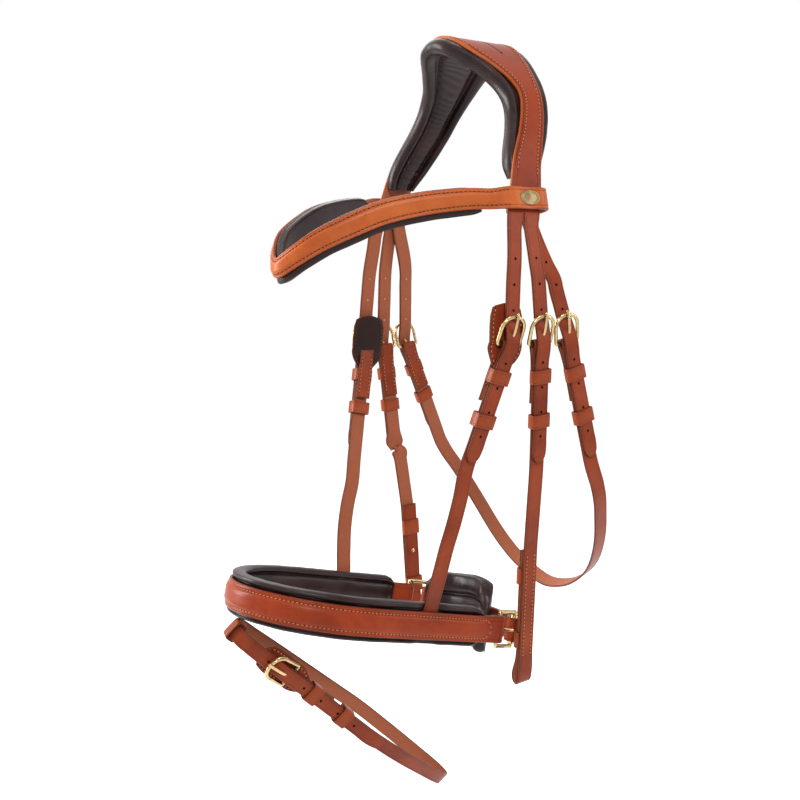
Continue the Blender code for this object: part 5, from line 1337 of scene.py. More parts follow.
class Run:
    """A fine smooth strap through sections; arcs are the distances along it."""

    def __init__(self, sections, held=0.0):
        frames = frames_of(sections)
        kept = [frames[0]]
        self.source = [0]
        for index, item in enumerate(frames[1:], 1):
            if (item[0] - kept[-1][0]).length > RUN_SHORTEST or index == len(frames) - 1:
                kept.append(item)
            self.source.append(len(kept) - 1)
        places = self.places = distances([item[0] for item in kept], LEAST_STEP)
        self.frames, self.arcs = [], []
        for index in range(len(kept) - 1):
            span = places[index + 1] - places[index]
            steps = max(1, math.ceil(span / RUN_SPACING))
            for step in range(steps + (index == len(kept) - 2)):
                at = places[index] + span * step / steps
                self.frames.append([hermite(values, places, at, index) for values in zip(*kept)])
                self.arcs.append(at)
        self.total = places[-1]
        self.square(held)

    def square(self, held):
        """Turns each frame's width and thickness square to the run, which is held at first."""
        centres = [item[0] for item in self.frames]
        for index, item in enumerate(self.frames):
            along = direction(centres, index)
            wide, thick = item[1], item[2]
            across = wide - along * wide.dot(along)
            if self.arcs[index] < held:
                turned = ease(self.arcs[index] / held)
                across = blend(wide.normalized(), across.normalized(), turned)
            across.normalize()
            out = thick - along * thick.dot(along)
            out -= across * out.dot(across)
            item[1:] = across * wide.length, out.normalized() * thick.length, max(item[3], 0.0)

    def section_arc(self, index):
        """The distance along the run of one of the sections it was made from."""
        return self.places[self.source[index]]

    def at(self, arc):
        arc = min(max(arc, 0.0), self.total)
        for index in range(len(self.arcs) - 1):
            if arc <= self.arcs[index + 1]:
                span = self.arcs[index + 1] - self.arcs[index]
                share = (arc - self.arcs[index]) / span
                first, last = self.frames[index], self.frames[index + 1]
                return [blend(a, b, share) for a, b in zip(first, last)]
        return self.frames[-1]

    def point(self, arc, across, lift):
        """A point on the run: across from its middle and out of its upper face, in metres."""
        centre, wide, thick, rise = self.at(arc)
        face = thick.length + rise * raised(abs(across) / wide.length)
        return centre + wide.normalized() * across + thick.normalized() * (face + lift)


def raised(share):
    """How much of a raised middle's height a share of the half width has."""
    return 1 - ease((share - SWELL_FLAT) / SWELL_SLOPE)


# where a raised middle starts to fall, and over how much of the half width it does
SWELL_FLAT = 0.42
SWELL_SLOPE = 0.32
# pressed lines along a strap: each is its way in from the edge, half width, depth and how much
# painted shade darkens it
STRAP_LINES = ((0.0019, 0.00045, 0.00024, 0.95),)
CROWN_LINES = ((0.0024, 0.0007, 0.0007, 0.9), (0.0046, 0.0008, 0.0004, 0.3))
BROW_LINES = ((0.0013, 0.0003, 0.00012, 0.35), (0.0028, 0.0009, 0.0005, 0.25))
NOSE_LINES = ((0.0014, 0.0003, 0.0001, 0.4), (0.0034, 0.0008, 0.0004, 0.5))


# a strap's upper edge: ways in, shares of the thickness, and how much of the edge's colour
EDGE_ROWS = ((0.0, 0.0, 1.0), (0.12, 0.55, 1.0), (0.4, 0.86, 0.55), (0.9, 1.0, 0.0))
# the lower edge has a share of the flesh side's colour besides
LOWER_ROWS = ((0.3, 0.75, 0.8, 0.2), (1.0, 1.0, 0.1, 1.0))
FACE_SHARES = (0.74, 0.64, 0.54, 0.44, 0.2)
# an edge's rounding as shares of the thickness and, at most, of the half width
EDGE_ROUND = 0.85
EDGE_WIDEST = 0.2
# a narrow strap's lines are drawn in to these shares of its half width
LINE_INSET = 0.45
LINE_WIDTH = 0.07
LINE_ROOM = 0.02


def profile(half, thick, rise, lines):
    """Points round a strap's section: across, out, and how much edge, flesh and painted crease
    shade.
    """
    def face(w):
        return thick + rise * raised(w / half)

    def mirrored(rows):
        return [(-row[0], *row[1:]) for row in rows]

    turn = min(EDGE_ROUND * thick, EDGE_WIDEST * half)
    upper = [(half - inset * turn, thick * height, edge, 0.0, 0.0)
             for inset, height, edge in EDGE_ROWS]
    low = half
    for inset, width, depth, shade in lines:
        inset, width = min(inset, LINE_INSET * half), min(width, LINE_WIDTH * half)
        low = half - inset - width
        upper += [(half - inset + width, face(half - inset), 0.0, 0.0, 0.0),
                  (half - inset, face(half - inset) - depth, 0.0, 0.0, shade),
                  (low, face(low), 0.0, 0.0, 0.0)]
    for share in FACE_SHARES:
        at = min(half * share, low - LINE_ROOM * half)
        upper.append((at, face(at), 0.0, 0.0, 0.0))
    lower = [(half - inset * turn, -height * thick, edge, flesh, 0.0)
             for inset, height, edge, flesh in LOWER_ROWS] + [(half / 2, -thick, 0.0, 1.0, 0.0)]
    return (upper + [(0.0, thick + rise, 0.0, 0.0, 0.0)] + mirrored(upper[::-1])
            + mirrored(lower) + [(0.0, -thick, 0.0, 1.0, 0.0)] + lower[::-1])


# the angle from which a strap's edges are sharp, and how much edge shows on a cut end
STRAP_SHARP = 60
CUT_WEAR = 0.8


def sweep_mesh(name, run, lines=STRAP_LINES, closed=False, capped=True):
    """The strap's skin with its edge, flesh-side and painted crease-shade colours; the cut edge
    shows at capped ends.
    """
    shape = bmesh.new()
    layer = shape.verts.layers.float_color.new("edge_flesh_and_crease_shade")
    rows = []
    for centre, wide, thick, rise in run.frames:
        across, out = wide.normalized(), thick.normalized()
        row = []
        for w, n, edge, flesh, crease in profile(wide.length, thick.length, rise, lines):
            vertex = shape.verts.new(centre + across * w + out * n)
            vertex[layer] = (edge, flesh, crease, 1.0)
            row.append(vertex)
        rows.append(row)
    if not closed:
        for vertex in rows[0] + rows[-1]:
            edge, flesh, _, _ = vertex[layer]
            vertex[layer] = (max(edge, CUT_WEAR if capped else 0.0), flesh, 0.0, 1.0)
    skin(shape, rows, closed)
    return smooth_mesh(name, shape, STRAP_SHARP)


RUNS = {}
LINES = {"browband": BROW_LINES, "noseband": NOSE_LINES}


def put_strap(name, sections, holes=()):
    """A strap's piece, from its sections and the numbers of those just above a hole."""
    run = RUNS[name] = Run(sections)
    add_piece(name, sweep_mesh(name, run, LINES.get(name, STRAP_LINES)), finish_of(name), name)
    add_holes(name, run, punched(run, holes), name)


HOLE_SIDES = 16
# a hole's dark disc, painted shade for the inside of the hole, and its pale rim: shares of its
# reach, and how far each stands off the face
DISC_SHARES = (0.02, 0.86)
DISC_LIFT = 0.00005
RIM_SHARES = (0.84, 1.16)
RIM_LIFT = 0.00009
# further to the far side than this, a hole is seen against the light
FAR_X = -0.01
# the small hole where the headpiece splits, and how far it is from the leather's end
SPLIT_HOLE = 0.0009
SPLIT_HOLE_INSET = 0.001


def hole_ring(shape, run, arc, sizes, lift):
    """A flat ring on a face of a run, between two sizes; a lift below zero is underneath."""
    centre, wide, thick, _ = run.at(arc)
    along = (run.at(arc + 0.001)[0] - run.at(arc - 0.001)[0]).normalized()
    base = centre + thick.normalized() * (math.copysign(thick.length, lift) + lift)
    rows = [[shape.verts.new(point)
             for point in oval(base, wide.normalized() * size, along * size, HOLE_SIDES)]
            for size in sizes]
    return rows[0], bridge(shape, *rows)


def punched(run, indices):
    """Where round holes lie, each between a numbered section and the next."""
    return [((run.section_arc(index) + run.section_arc(index + 1)) / 2, HOLE_WIDTH / 2)
            for index in indices]


def add_holes(name, run, places, node):
    """Holes on both faces of a strap: discs of painted shade, or of painted light where a far hole
    is seen against the light, each with a pale rim.
    """
    if not places:
        return
    shape = bmesh.new()
    for arc, reach in places:
        disc, rim = ([reach * share for share in shares] for shares in (DISC_SHARES, RIM_SHARES))
        for sign in (1, -1):
            middle, faces = hole_ring(shape, run, arc, disc, DISC_LIFT * sign)
            for face in faces + [shape.faces.new(middle)]:
                # far-side holes show painted light seen through them; the rest, painted shade
                face.material_index = 2 if run.at(arc)[0].x < FAR_X else 0
            for face in hole_ring(shape, run, arc, rim, RIM_LIFT * sign)[1]:
                face.material_index = 1
    mesh = smooth_mesh(name + "_holes", shape)
    for finish in ("hole", "keeper", "hole_painted_light"):
        mesh.materials.append(FINISHES[finish])
    add_piece(name + "_holes", mesh, "hole", node, False)


# the slit over the poll
SLIT_ACROSS = 0.002
SLIT_REACH = 0.036
SLIT_HALF_WIDTH = 0.00055
SLIT_END = 0.0011
SLIT_NARROWS = 0.55
SLIT_LIFT = 0.00007
SLIT_STEPS = 30


def crown_slit(run):
    """The slit along the top of the crown as a strip of painted shade, with a small disc of painted
    shade at each end.
    """
    shape = bmesh.new()
    middle = run.total / 2
    rows = []
    for step in range(2 * SLIT_STEPS + 1):
        share = step / SLIT_STEPS - 1
        width = SLIT_HALF_WIDTH * (1 - SLIT_NARROWS * abs(share) ** 3)
        rows.append([
            shape.verts.new(run.point(middle + SLIT_REACH * share, SLIT_ACROSS + w, SLIT_LIFT))
            for w in (-width, width)])
    for first, last in zip(rows, rows[1:]):
        shape.faces.new((*first, *last[::-1]))
    for sign in (1, -1):
        arc = middle + sign * SLIT_REACH
        wide, thick = (side.normalized() for side in run.at(arc)[1:3])
        rim = oval(run.point(arc, SLIT_ACROSS, RIM_LIFT), wide * SLIT_END,
                   wide.cross(thick) * SLIT_END, 14)
        shape.faces.new([shape.verts.new(point) for point in rim])
    add_piece("crown_slit", smooth_mesh("crown_slit", shape), "hole", "headpiece", False)


STITCH_PITCH = 0.0032
STITCH_LENGTH = 0.0024
LAP_INSET = 0.0022
STITCH_RADIUS = 0.00042
# a stitch's rings: shares of its length and of its size, and a ring's corners
STITCH_RINGS = ((0.18, 0.8), (0.5, 1.0), (0.82, 0.8))
STITCH_CORNERS = ((1, 0), (0.6, 0.8), (-0.6, 0.8), (-1, 0), (0, -0.8))
STITCH_RISE = 0.35
STITCH_SHARP = 80
AWL_RADIUS = 0.0005
# how far the awl holes stand off the upper face and off the lower one
AWL_LIFTS = {1: 0.00004, -1: 0.00003}


def stitch(shape, start, end, out):
    """One stitch: a small pointed bar that stands half out of the leather."""
    out = out * STITCH_RADIUS
    side = (end - start).normalized().cross(out).normalized() * STITCH_RADIUS
    rings = []
    for share, size in STITCH_RINGS:
        middle = blend(start, end, share) + out * STITCH_RISE
        rings.append([shape.verts.new(middle + (side * x + out * y) * size)
                      for x, y in STITCH_CORNERS])
    first, last = shape.verts.new(start - out), shape.verts.new(end - out)
    for ring, other in zip(rings, rings[1:]):
        bridge(shape, ring, other)
    for index in range(len(STITCH_CORNERS)):
        follow = (index + 1) % len(STITCH_CORNERS)
        shape.faces.new((first, rings[0][follow], rings[0][index]))
        shape.faces.new((last, rings[-1][index], rings[-1][follow]))


def face_point(run, arc, across, side, lift=0.0):
    """A point on a run's upper face, or on its lower one where side is negative."""
    if side > 0:
        return run.point(arc, across, lift)
    centre, wide, thick, _ = run.at(arc)
    return centre + wide.normalized() * across - thick - thick.normalized() * lift


def awl_hole(shape, run, arc, across, side):
    """The little hole between two stitches, as a disc of painted shade."""
    wide, out = (part.normalized() for part in run.at(arc)[1:3])
    rim = oval(face_point(run, arc, across, side, AWL_LIFTS[side]), wide * AWL_RADIUS,
               wide.cross(out * side) * AWL_RADIUS, 7)
    shape.faces.new([shape.verts.new(point) for point in rim]).material_index = 1


def stitch_line(shape, run, start, end, across, side):
    """Stitches along a run, at the places across it that a function of the distance gives."""
    count = int(abs(end - start) / STITCH_PITCH)
    reach = STITCH_LENGTH / STITCH_PITCH / 2
    for index in range(count + 1):
        arc = blend(start, end, index / count)
        awl_hole(shape, run, arc, across(arc), side)
    for index in range(count):
        arcs = [blend(start, end, (index + 0.5 + step) / count) for step in (-reach, reach, 0)]
        first, last = (face_point(run, arc, across(arc), side) for arc in arcs[:2])
        stitch(shape, first, last, run.at(arcs[2])[2].normalized() * side)


def add_stitches(name, node, lines, finish="thread"):
    """One object of stitches; each line is a run, start, end, across and side."""
    shape = bmesh.new()
    for line in lines:
        stitch_line(shape, *line)
    mesh = smooth_mesh(name, shape, STITCH_SHARP)
    mesh.materials.append(FINISHES[finish])
    mesh.materials.append(FINISHES["awl"])
    add_piece(name, mesh, finish, node, False)


def both_edges(run, start, end, place, side=1):
    """Two rows, as far right and left of the middle as a function of the distance gives."""
    return [(run, start, end, place, side), (run, start, end, lambda arc: -place(arc), side)]


def both_sides(run, start, end, inset, side=1):
    """Two rows of stitches, each a fixed way in from its edge."""
    return both_edges(run, start, end, lambda arc: run.at(arc)[1].length - inset, side)


# metal

BAR_SIDES = 16
BOW_DEPTH = 0.98
BOW_STEPS = 18
BOW_POWER = 0.88
TONGUE_SIDES = 14
TONGUE_POWER = 0.72
TONGUE_END_SHARES = (0.55, 0.78, 0.9, 0.97, 1.0)


def tube(path, radius, normal):
    path = smooth_run(path, 3, True)
    rings = []
    for index, point in enumerate(path):
        side = (path[(index + 1) % len(path)] - path[index - 1]).normalized().cross(normal)
        rings.append(oval(point, side * radius, normal * radius, BAR_SIDES, 0.5))
    return loft(rings, True)


def buckle_mesh(name, half, reach):
    """A horseshoe frame whose base bar lies on the local x axis."""
    length = math.hypot(TOP_BAR_N, reach)
    lean = Vector((0, reach / length, TOP_BAR_N / length))
    shoulder = length - half * BOW_DEPTH
    corner = WIRE_RADIUS
    flat = [(-half + corner, 0.0), (0.0, 0.0), (half - corner, 0.0), (half, corner),
            (half, shoulder / 2)]
    for step in range(BOW_STEPS + 1):
        angle = math.pi * step / BOW_STEPS
        flat.append((half * squared(math.cos(angle), BOW_POWER),
                     blend(shoulder, length, squared(math.sin(angle), BOW_POWER))))
    flat += [(-half, shoulder / 2), (-half, corner)]
    path = [X_AXIS * x + lean * f for x, f in flat]
    return smooth_mesh(name, tube(path, WIRE_RADIUS, X_AXIS.cross(lean)))


def tongue_mesh(name, bar, reach, rest_n):
    """A rounded tongue with an eye round the base bar, resting over the far bar."""
    radius = bar + CLEARANCE + TONGUE_THICK / 2
    path = []
    for step in range(EYE_STEPS + 1):
        angle = EYE_START + EYE_TURN * step / EYE_STEPS
        path.append(Vector((0, math.sin(angle), math.cos(angle))) * radius)
    path += [Vector((0, y, z)) for y, z in (
        (reach * KNEE_SHARES[0], rest_n * KNEE_SHARES[1]), (reach, rest_n),
        (reach + TONGUE_OVERHANG, rest_n - TONGUE_THICK / 2))]
    path = smooth_run(path, 4)
    rings = []
    for index, point in enumerate(path):
        side = X_AXIS.cross(direction(path, index))
        share = TONGUE_END_SHARES[min(len(path) - 1 - index, len(TONGUE_END_SHARES) - 1)]
        wide, thick = X_AXIS * TONGUE_WIDTH / 2 * share, side * TONGUE_THICK / 2 * share
        rings.append([
            point + wide * squared(math.cos(turn), TONGUE_POWER)
            + thick * squared(math.sin(turn), TONGUE_POWER)
            for turn in (2 * math.pi * (step + 0.5) / TONGUE_SIDES for step in range(TONGUE_SIDES))
        ])
    return smooth_mesh(name, loft(rings))


def squared(value, power):
    """A circle's coordinate pushed outward, towards a square's."""
    return math.copysign(abs(value) ** power, value)


def square_ring(name):
    """A square frame of round bar: front bar on the local x axis, rear bar beyond it."""
    half = NOSE_WIDTH / 2 + CLEARANCE + CRANK_ROOM + CRANK_BAR
    corner = CRANK_BAR
    path = []
    for x, y in ((half, 0.0), (half, CRANK_DEPTH), (-half, CRANK_DEPTH), (-half, 0.0)):
        inward = -corner if y else corner
        side = -corner if x > 0 else corner
        pair = [Vector((x + side, y, 0)), Vector((x, y + inward, 0))]
        path += pair if (x > 0) != (y > 0) else pair[::-1]
    return smooth_mesh(name, tube(path, CRANK_BAR, Z_AXIS))


ROLLER_SIDES = 40
ROLLER_SOFT = 0.0005


def roller_mesh(name):
    half = NOSE_WIDTH / 2 + CRANK_ROOM
    bore = CRANK_BAR + CLEARANCE
    soft = half - ROLLER_SOFT, ROLLER_RADIUS - ROLLER_SOFT
    rows = ((-half, bore), (-half, soft[1]), (-soft[0], ROLLER_RADIUS),
            (soft[0], ROLLER_RADIUS), (half, soft[1]), (half, bore))
    rings = [[X_AXIS * x + radial * r for x, r in rows]
             for radial in oval(Vector(), Y_AXIS, Z_AXIS, ROLLER_SIDES)]
    return smooth_mesh(name, loft(rings, True))


STUD_SIDES = 32
STUD_RIM = 0.25


def hook_stud(name, seat, guide):
    base = STRAP_FOLD.flat - STRAP_THICK / 2 - CLEARANCE
    inner = turned_up_n() - STRAP_THICK / 2 - CLEARANCE
    head = STUD_HEAD / 2
    rows = [(base, head), (base - STUD_BASE, head), (base - STUD_BASE, STUD_STEM),
            (inner, STUD_STEM), (inner, head * 0.93)]
    for step in range(6):
        angle = math.pi / 2 * step / 6
        rows.append((inner - STUD_CAP * blend(STUD_RIM, 1.0, math.sin(angle)),
                     head * math.cos(angle)))
    rings = [oval(Z_AXIS * n, X_AXIS * r, Y_AXIS * r, STUD_SIDES) for n, r in rows]
    put(name, smooth_mesh(name, loft(rings)), seat.matrix(STUD_RISE + seat.distance - guide.total))


BADGE_SIDES = 48
BADGE_STRETCH = 0.6
# the badge's face from its foot inward: shares of its thickness and of its outline
BADGE_ROWS = (
    (-0.9, 0.96), (0.45, 1.0), (0.9, 0.965), (1.0, 0.92), (1.0, 0.84), (0.72, 0.79),
    (0.74, 0.6), (0.80, 0.3), (0.82, 0.05),
)


def badge(name, arch, side):
    """A plain oval badge with a fine raised rim on the browband's near loop."""
    place, outward, down, (front, rear) = loop_axes(arch, side)
    face = BILLET_THICK + LOOP_SLACK + BROW_THICK + 2 * CLEARANCE
    centre = place + Y_AXIS * (front + rear) / 2 + outward * face
    long, high = Y_AXIS * BADGE_LENGTH * BADGE_STRETCH, down * BADGE_HEIGHT / 2
    rings = [oval(centre + outward * lift * BADGE_THICK, long * share, high * share, BADGE_SIDES)
             for lift, share in BADGE_ROWS]
    add_piece(name, smooth_mesh(name, loft(rings)), "old_brass", name)


# keepers

CORNER_STEPS = 5
LOOP_CORNER = 0.0013
LOOP_SPACING = 0.0015
LOOP_SWELL = 0.00022
# the keeper's pressed line near each edge: way in, half width, depth and painted shade
LOOP_LINES = ((0.0017, 0.0004, 0.0002, 0.9),)


class Loop:
    """A closed band's frames round a stack of straps, in its keeper's own frame."""

    def __init__(self, half, low, high, height, thick):
        x, under, over = half + thick / 2, low - thick / 2, high + thick / 2
        corner = min(LOOP_CORNER, (over - under) / 3)
        points = []
        for sx, z, start in ((1, over - corner, 0), (-1, over - corner, 90),
                             (-1, under + corner, 180), (1, under + corner, 270)):
            middle = Vector(((x - corner) * sx, 0, z))
            for step in range(CORNER_STEPS + 1):
                angle = math.radians(start + 90 * step / CORNER_STEPS)
                out = Vector((math.cos(angle), 0, math.sin(angle)))
                points.append((middle + out * corner, out))
        self.frames = []
        for (point, out), (following, _) in zip(points, points[1:] + points[:1]):
            gap = (following - point).length
            steps = int(gap / LOOP_SPACING) if gap > 2 * LOOP_SPACING else 1
            for step in range(steps):
                lift = out * LOOP_SWELL * math.sin(math.pi * step / steps)
                self.frames.append([blend(point, following, step / steps) + lift,
                                    Y_AXIS * height / 2, out * thick / 2, 0.0])


def keeper_mesh(name, half, low, high, height, thick=KEEPER_THICK):
    return sweep_mesh(name, Loop(half, low, high, height, thick), LOOP_LINES, True)


# shaped leathers and pads

def guard(name, seat, fold, rise, drop, half_width):
    """A shaped leather under a buckle, stitched round its rim."""
    rows = [(rise * share, half_width * width)
            for share, width in ((1.0, 0.20), (0.985, 0.42)) + GUARD_SHARES[1:]]
    rows += [(u, half_width) for u in (fold.radius + STRAP_THICK, 0.0, -LAP_MERGE / 2)]
    rows += [(drop * share, max(half_width * width, fold.half))
             for share, width in GUARD_FOOT_SHARES]
    put_strap(name, [flat_section(seat, u, guard_n(u), half, GUARD_THICK) for u, half in rows])
    run = RUNS[name]
    inset, start, stop = GUARD_ROW
    for side, word, finish in (
            (1, "_stitches", "thread"), (-1, "_inner_stitches", "guard_thread")):
        add_stitches(name + word, name, both_sides(run, start, run.total - stop, inset, side),
                     finish)


def pad_piece(name, rings, wrinkle, ring_steps=4, along_steps=3):
    """A padded leather: smooth rings, then fine creases pressed into its face."""
    fine = [smooth_run(ring, ring_steps, True) for ring in rings]
    around = len(fine[0])
    columns = [smooth_run([ring[index] for ring in fine], along_steps)
               for index in range(around)]
    rows = [list(points) for points in zip(*columns)]
    shape = loft(rows)
    bmesh.ops.recalc_face_normals(shape, faces=shape.faces)
    shape.normal_update()
    for index, vertex in enumerate(list(shape.verts)):
        row, column = divmod(index, around)
        depth = wrinkle(row / (len(rows) - 1), column / around, vertex.co)
        depth += PAD_UNEVEN * (noise.noise(vertex.co * PAD_LUMPS) - 0.5)
        vertex.co += vertex.normal * depth
    add_piece(name, smooth_mesh(name, shape, 180), "padding", name)
    return rows


SEAM_PITCH = 0.0034
PAD_UNEVEN = 0.00018
PAD_LUMPS = 90


def seam(node, rows, shares, corners, inset):
    """Stitches along a pad, at numbered corners of its outline."""
    shape = bmesh.new()
    around = len(rows[0])
    for corner in corners:
        column = int(corner / len(shares) * around) % around
        line = [row[column] for row in rows]
        outs = []
        for index, row in enumerate(rows):
            side = row[(column + 1) % around] - row[column - 1]
            out = direction(line, index).cross(side).normalized()
            centre = sum(row, Vector()) / around
            outs.append(out if out.dot(row[column] - centre) > 0 else -out)
        places = distances(line)
        at, index = places[-1] * inset, 0
        while at < places[-1] * (1 - inset):
            while places[index + 1] < at:
                index += 1
            share_in = (at - places[index]) / (places[index + 1] - places[index])
            place = blend(line[index], line[index + 1], share_in)
            half = (line[index + 1] - line[index]).normalized() * STITCH_LENGTH / 2
            stitch(shape, place - half, place + half, outs[index])
            at += SEAM_PITCH
    name = node + "_seams"
    add_piece(name, smooth_mesh(name, shape, STITCH_SHARP), "pad_thread", node, False)


# the crown pad's creases: their middle and width in corners of its outline, and how deep
# the wide and the fine ones are
CREASE_CORNER = 15.0
CREASE_WIDTH = 2.0
CREASE_DEPTH = 0.0018
FINE_CREASE_DEPTH = 0.0007


def crown_wrinkle(along, around, point):
    """Cross creases in the channel between the crown pad's edge rolls."""
    ring = around * len(CROWN_PAD_SHARES)
    inside = math.exp(-((ring - CREASE_CORNER) / CREASE_WIDTH) ** 2)
    wave = 0.5 + 0.5 * math.sin(along * 330 + 9.0 * noise.noise(point * 31))
    fine = 0.5 + 0.5 * math.sin(along * 700 + 12.0 * noise.noise(point * 47))
    strength = max(0.0, 0.45 + 0.9 * noise.noise(point * 19 + Vector((3, 1, 7))))
    return -inside * strength * (CREASE_DEPTH * wave ** 2 + FINE_CREASE_DEPTH * fine)


def crown_pad(arch):
    run = [index for index, place in enumerate(arch.line) if CROWN_PAD - place.y < PAD_END_DROP]
    rings = []
    for step, index in enumerate(run):
        front, rear = arch.pad[index]
        share = near_end(END_SHARES, step, len(run) - 1)
        middle, half = (front + rear) / 2, (rear - front) / 2
        rings.append([
            arch.point(index, (depth * CROWN_PAD) * share - CLEARANCE, middle + half * w * share)
            for w, depth in CROWN_PAD_SHARES
        ])
    rows = pad_piece("crown_pad", rings, crown_wrinkle, 4, 6)
    seam("crown_pad", rows, CROWN_PAD_SHARES, (13.0, 17.0), 0.02)


SOFT_WRINKLE_DEPTH = 0.0005


def soft_wrinkle(_along, _around, point):
    """Shallow dents, longer across than up."""
    fold = noise.noise(Vector((point.x * 45, point.y * 45, point.z * 120)))
    return -SOFT_WRINKLE_DEPTH * max(fold, 0.0)


def browband_pad():
    line, heights = brow_line()
    chosen = range(1, len(line) - 1)
    rings = []
    for step, index in enumerate(chosen):
        outward, up = brow_axes(line, index)
        half = (heights[index] + BROW_PAD_LIP) / 2
        share = near_end(END_SHARES, step, len(chosen) - 1)
        centre = line[index] - up * BROW_PAD_LIP / 2
        face = -(BROW_THICK / 2 + 2 * CLEARANCE)
        rings.append([
            centre + up * half * w * share + outward * (face + depth * BROW_PAD * share)
            for w, depth in BROW_PAD_SHARES
        ])
    pad_piece("browband_pad", rings, soft_wrinkle)


def noseband_pad(guide, hanger_places):
    start = NOSE_BACK - NOSE_PAD_END
    seat = Seat(guide, 0.0, -1)
    top, bottom = NOSE_WIDTH / 2 + NOSE_PAD_TOP, -NOSE_WIDTH / 2 - NOSE_PAD_BOTTOM
    middle, half = (top + bottom) / 2, (top - bottom) / 2
    face = NOSE_FOLD.flat - NOSE_LEATHER / 2 - CLEARANCE
    recess = STRAP_THICK + 3 * CLEARANCE
    reach = STRAP_WIDTH / 2 + CLEARANCE
    steps = NOSE_PAD_STATIONS
    rings = []
    for step in range(steps + 1):
        distance = blend(start, guide.total - start, step / steps)
        edge = min(step, steps - step) / steps * (guide.total - 2 * start)
        round_in = math.sin(math.pi / 2 * min(edge / NOSE_PAD_ROUND, 1.0))
        share = blend(END_SHARES[0], 1.0, round_in)
        sunk = max(1 - ease((abs(distance - place) - reach) / RECESS_SLOPE)
                   for place in hanger_places)
        outer = face - recess * sunk
        depth_left = NOSE_PAD - recess * sunk
        rings.append([
            seat.point(distance,
                       outer + (depth * (1 - sunk) if depth > 0 else depth) * depth_left * share,
                       middle + half * w * share)
            for w, depth in NOSE_PAD_SHARES
        ])
    rows = pad_piece("noseband_pad", rings, soft_wrinkle, 3, 1)
    seam("noseband_pad", rows, NOSE_PAD_SHARES, (13.5, 17.5), 0.03)


# the near half of the chin pad ends a little earlier and hangs lower than the far half
CHIN_NEAR_SHARE = 0.60
CHIN_NEAR_DROP = 0.010
CHIN_DRAWN = (0.66, 0.88, 0.97, 1.0)


def chin_pad(guide):
    line = Guide(chin_rows(guide), NOSE_ACROSS, 1)
    seat = Seat(line, line.total / 2, -1)
    rings = []
    for step in range(CHIN_STATIONS + 1):
        u = blend(-CHIN_LENGTH / 2, CHIN_LENGTH / 2, step / CHIN_STATIONS)
        if seat.point(u, 0).x > 0:
            u *= CHIN_NEAR_SHARE
        share = near_end(CHIN_END_SHARES, step, CHIN_STATIONS)
        drawn = near_end(CHIN_DRAWN, step, CHIN_STATIONS)
        lower = CHIN_NEAR_DROP * ease(max(seat.point(u, 0).x, 0.0) / CHIN_HALF)
        rings.append([
            seat.point(u, (depth * share - (1 - share) / 2) * CHIN_THICK,
                       CHIN_HEIGHT / 2 * w * drawn - lower)
            for w, depth in CHIN_PAD_SHARES
        ])
    rows = pad_piece("chin_pad", rings, soft_wrinkle, 4, 4)
    seam("chin_pad", rows, CHIN_PAD_SHARES, (9.0, 13.0), 0.06)


# the headpiece: a crown and four billets

CROWN_SHORT = 2
# how far a billet turns from the crown's width to its own
HELD_LENGTH = 0.02


def joined(meshes, name):
    """One mesh from several."""
    shape = bmesh.new()
    for mesh in meshes:
        shape.from_mesh(mesh)
        bpy.data.meshes.remove(mesh)
    return smooth_mesh(name, shape, STRAP_SHARP, True)


def sunk(columns, deeper):
    """A billet's section, a hair thinner where the crown's own leather covers it."""
    gap = 0.94 if deeper else 1.0
    return [(blend(inner, outer, gap), blend(outer, inner, gap)) for outer, inner in columns]


def headpiece(arch, seats):
    """One leather over the poll, slit into two billets on each side."""
    last = len(arch.line) - 1
    crown = [crown_section(arch, index) for index in range(last + 1)]
    run = RUNS["headpiece"] = Run([[section[0], section[-1]] for section in crown])
    top = sweep_mesh("headpiece", run, CROWN_LINES, capped=False)
    add_piece("headpiece", top, "crown", "headpiece")
    add_holes("headpiece", run, [(arc, SPLIT_HOLE) for arc in (
        SPLIT_HOLE_INSET, run.total - SPLIT_HOLE_INSET)], "headpiece")
    meshes = []
    for side in (1, -1):
        ends = [crown[last - index if side > 0 else index]
                for index in range(CROWN_SHORT, -1, -1)]
        for order, seat in enumerate(seats[side]):
            sections, holes = billet_run(seat, seat.distance - SLIT_WIDTH)
            halves = [sunk(end[2 * order:2 * order + 2], end is not ends[-1]) for end in ends]
            billet = Run(halves + sections, held=HELD_LENGTH)
            add_holes("billet_%d_%d" % (side, order), billet,
                      punched(billet, [len(halves) + index for index in holes]), "headpiece")
            meshes.append(sweep_mesh("headpiece", billet))
    add_piece("headpiece_billets", joined(meshes, "headpiece_billets"), "tan", "headpiece", False)


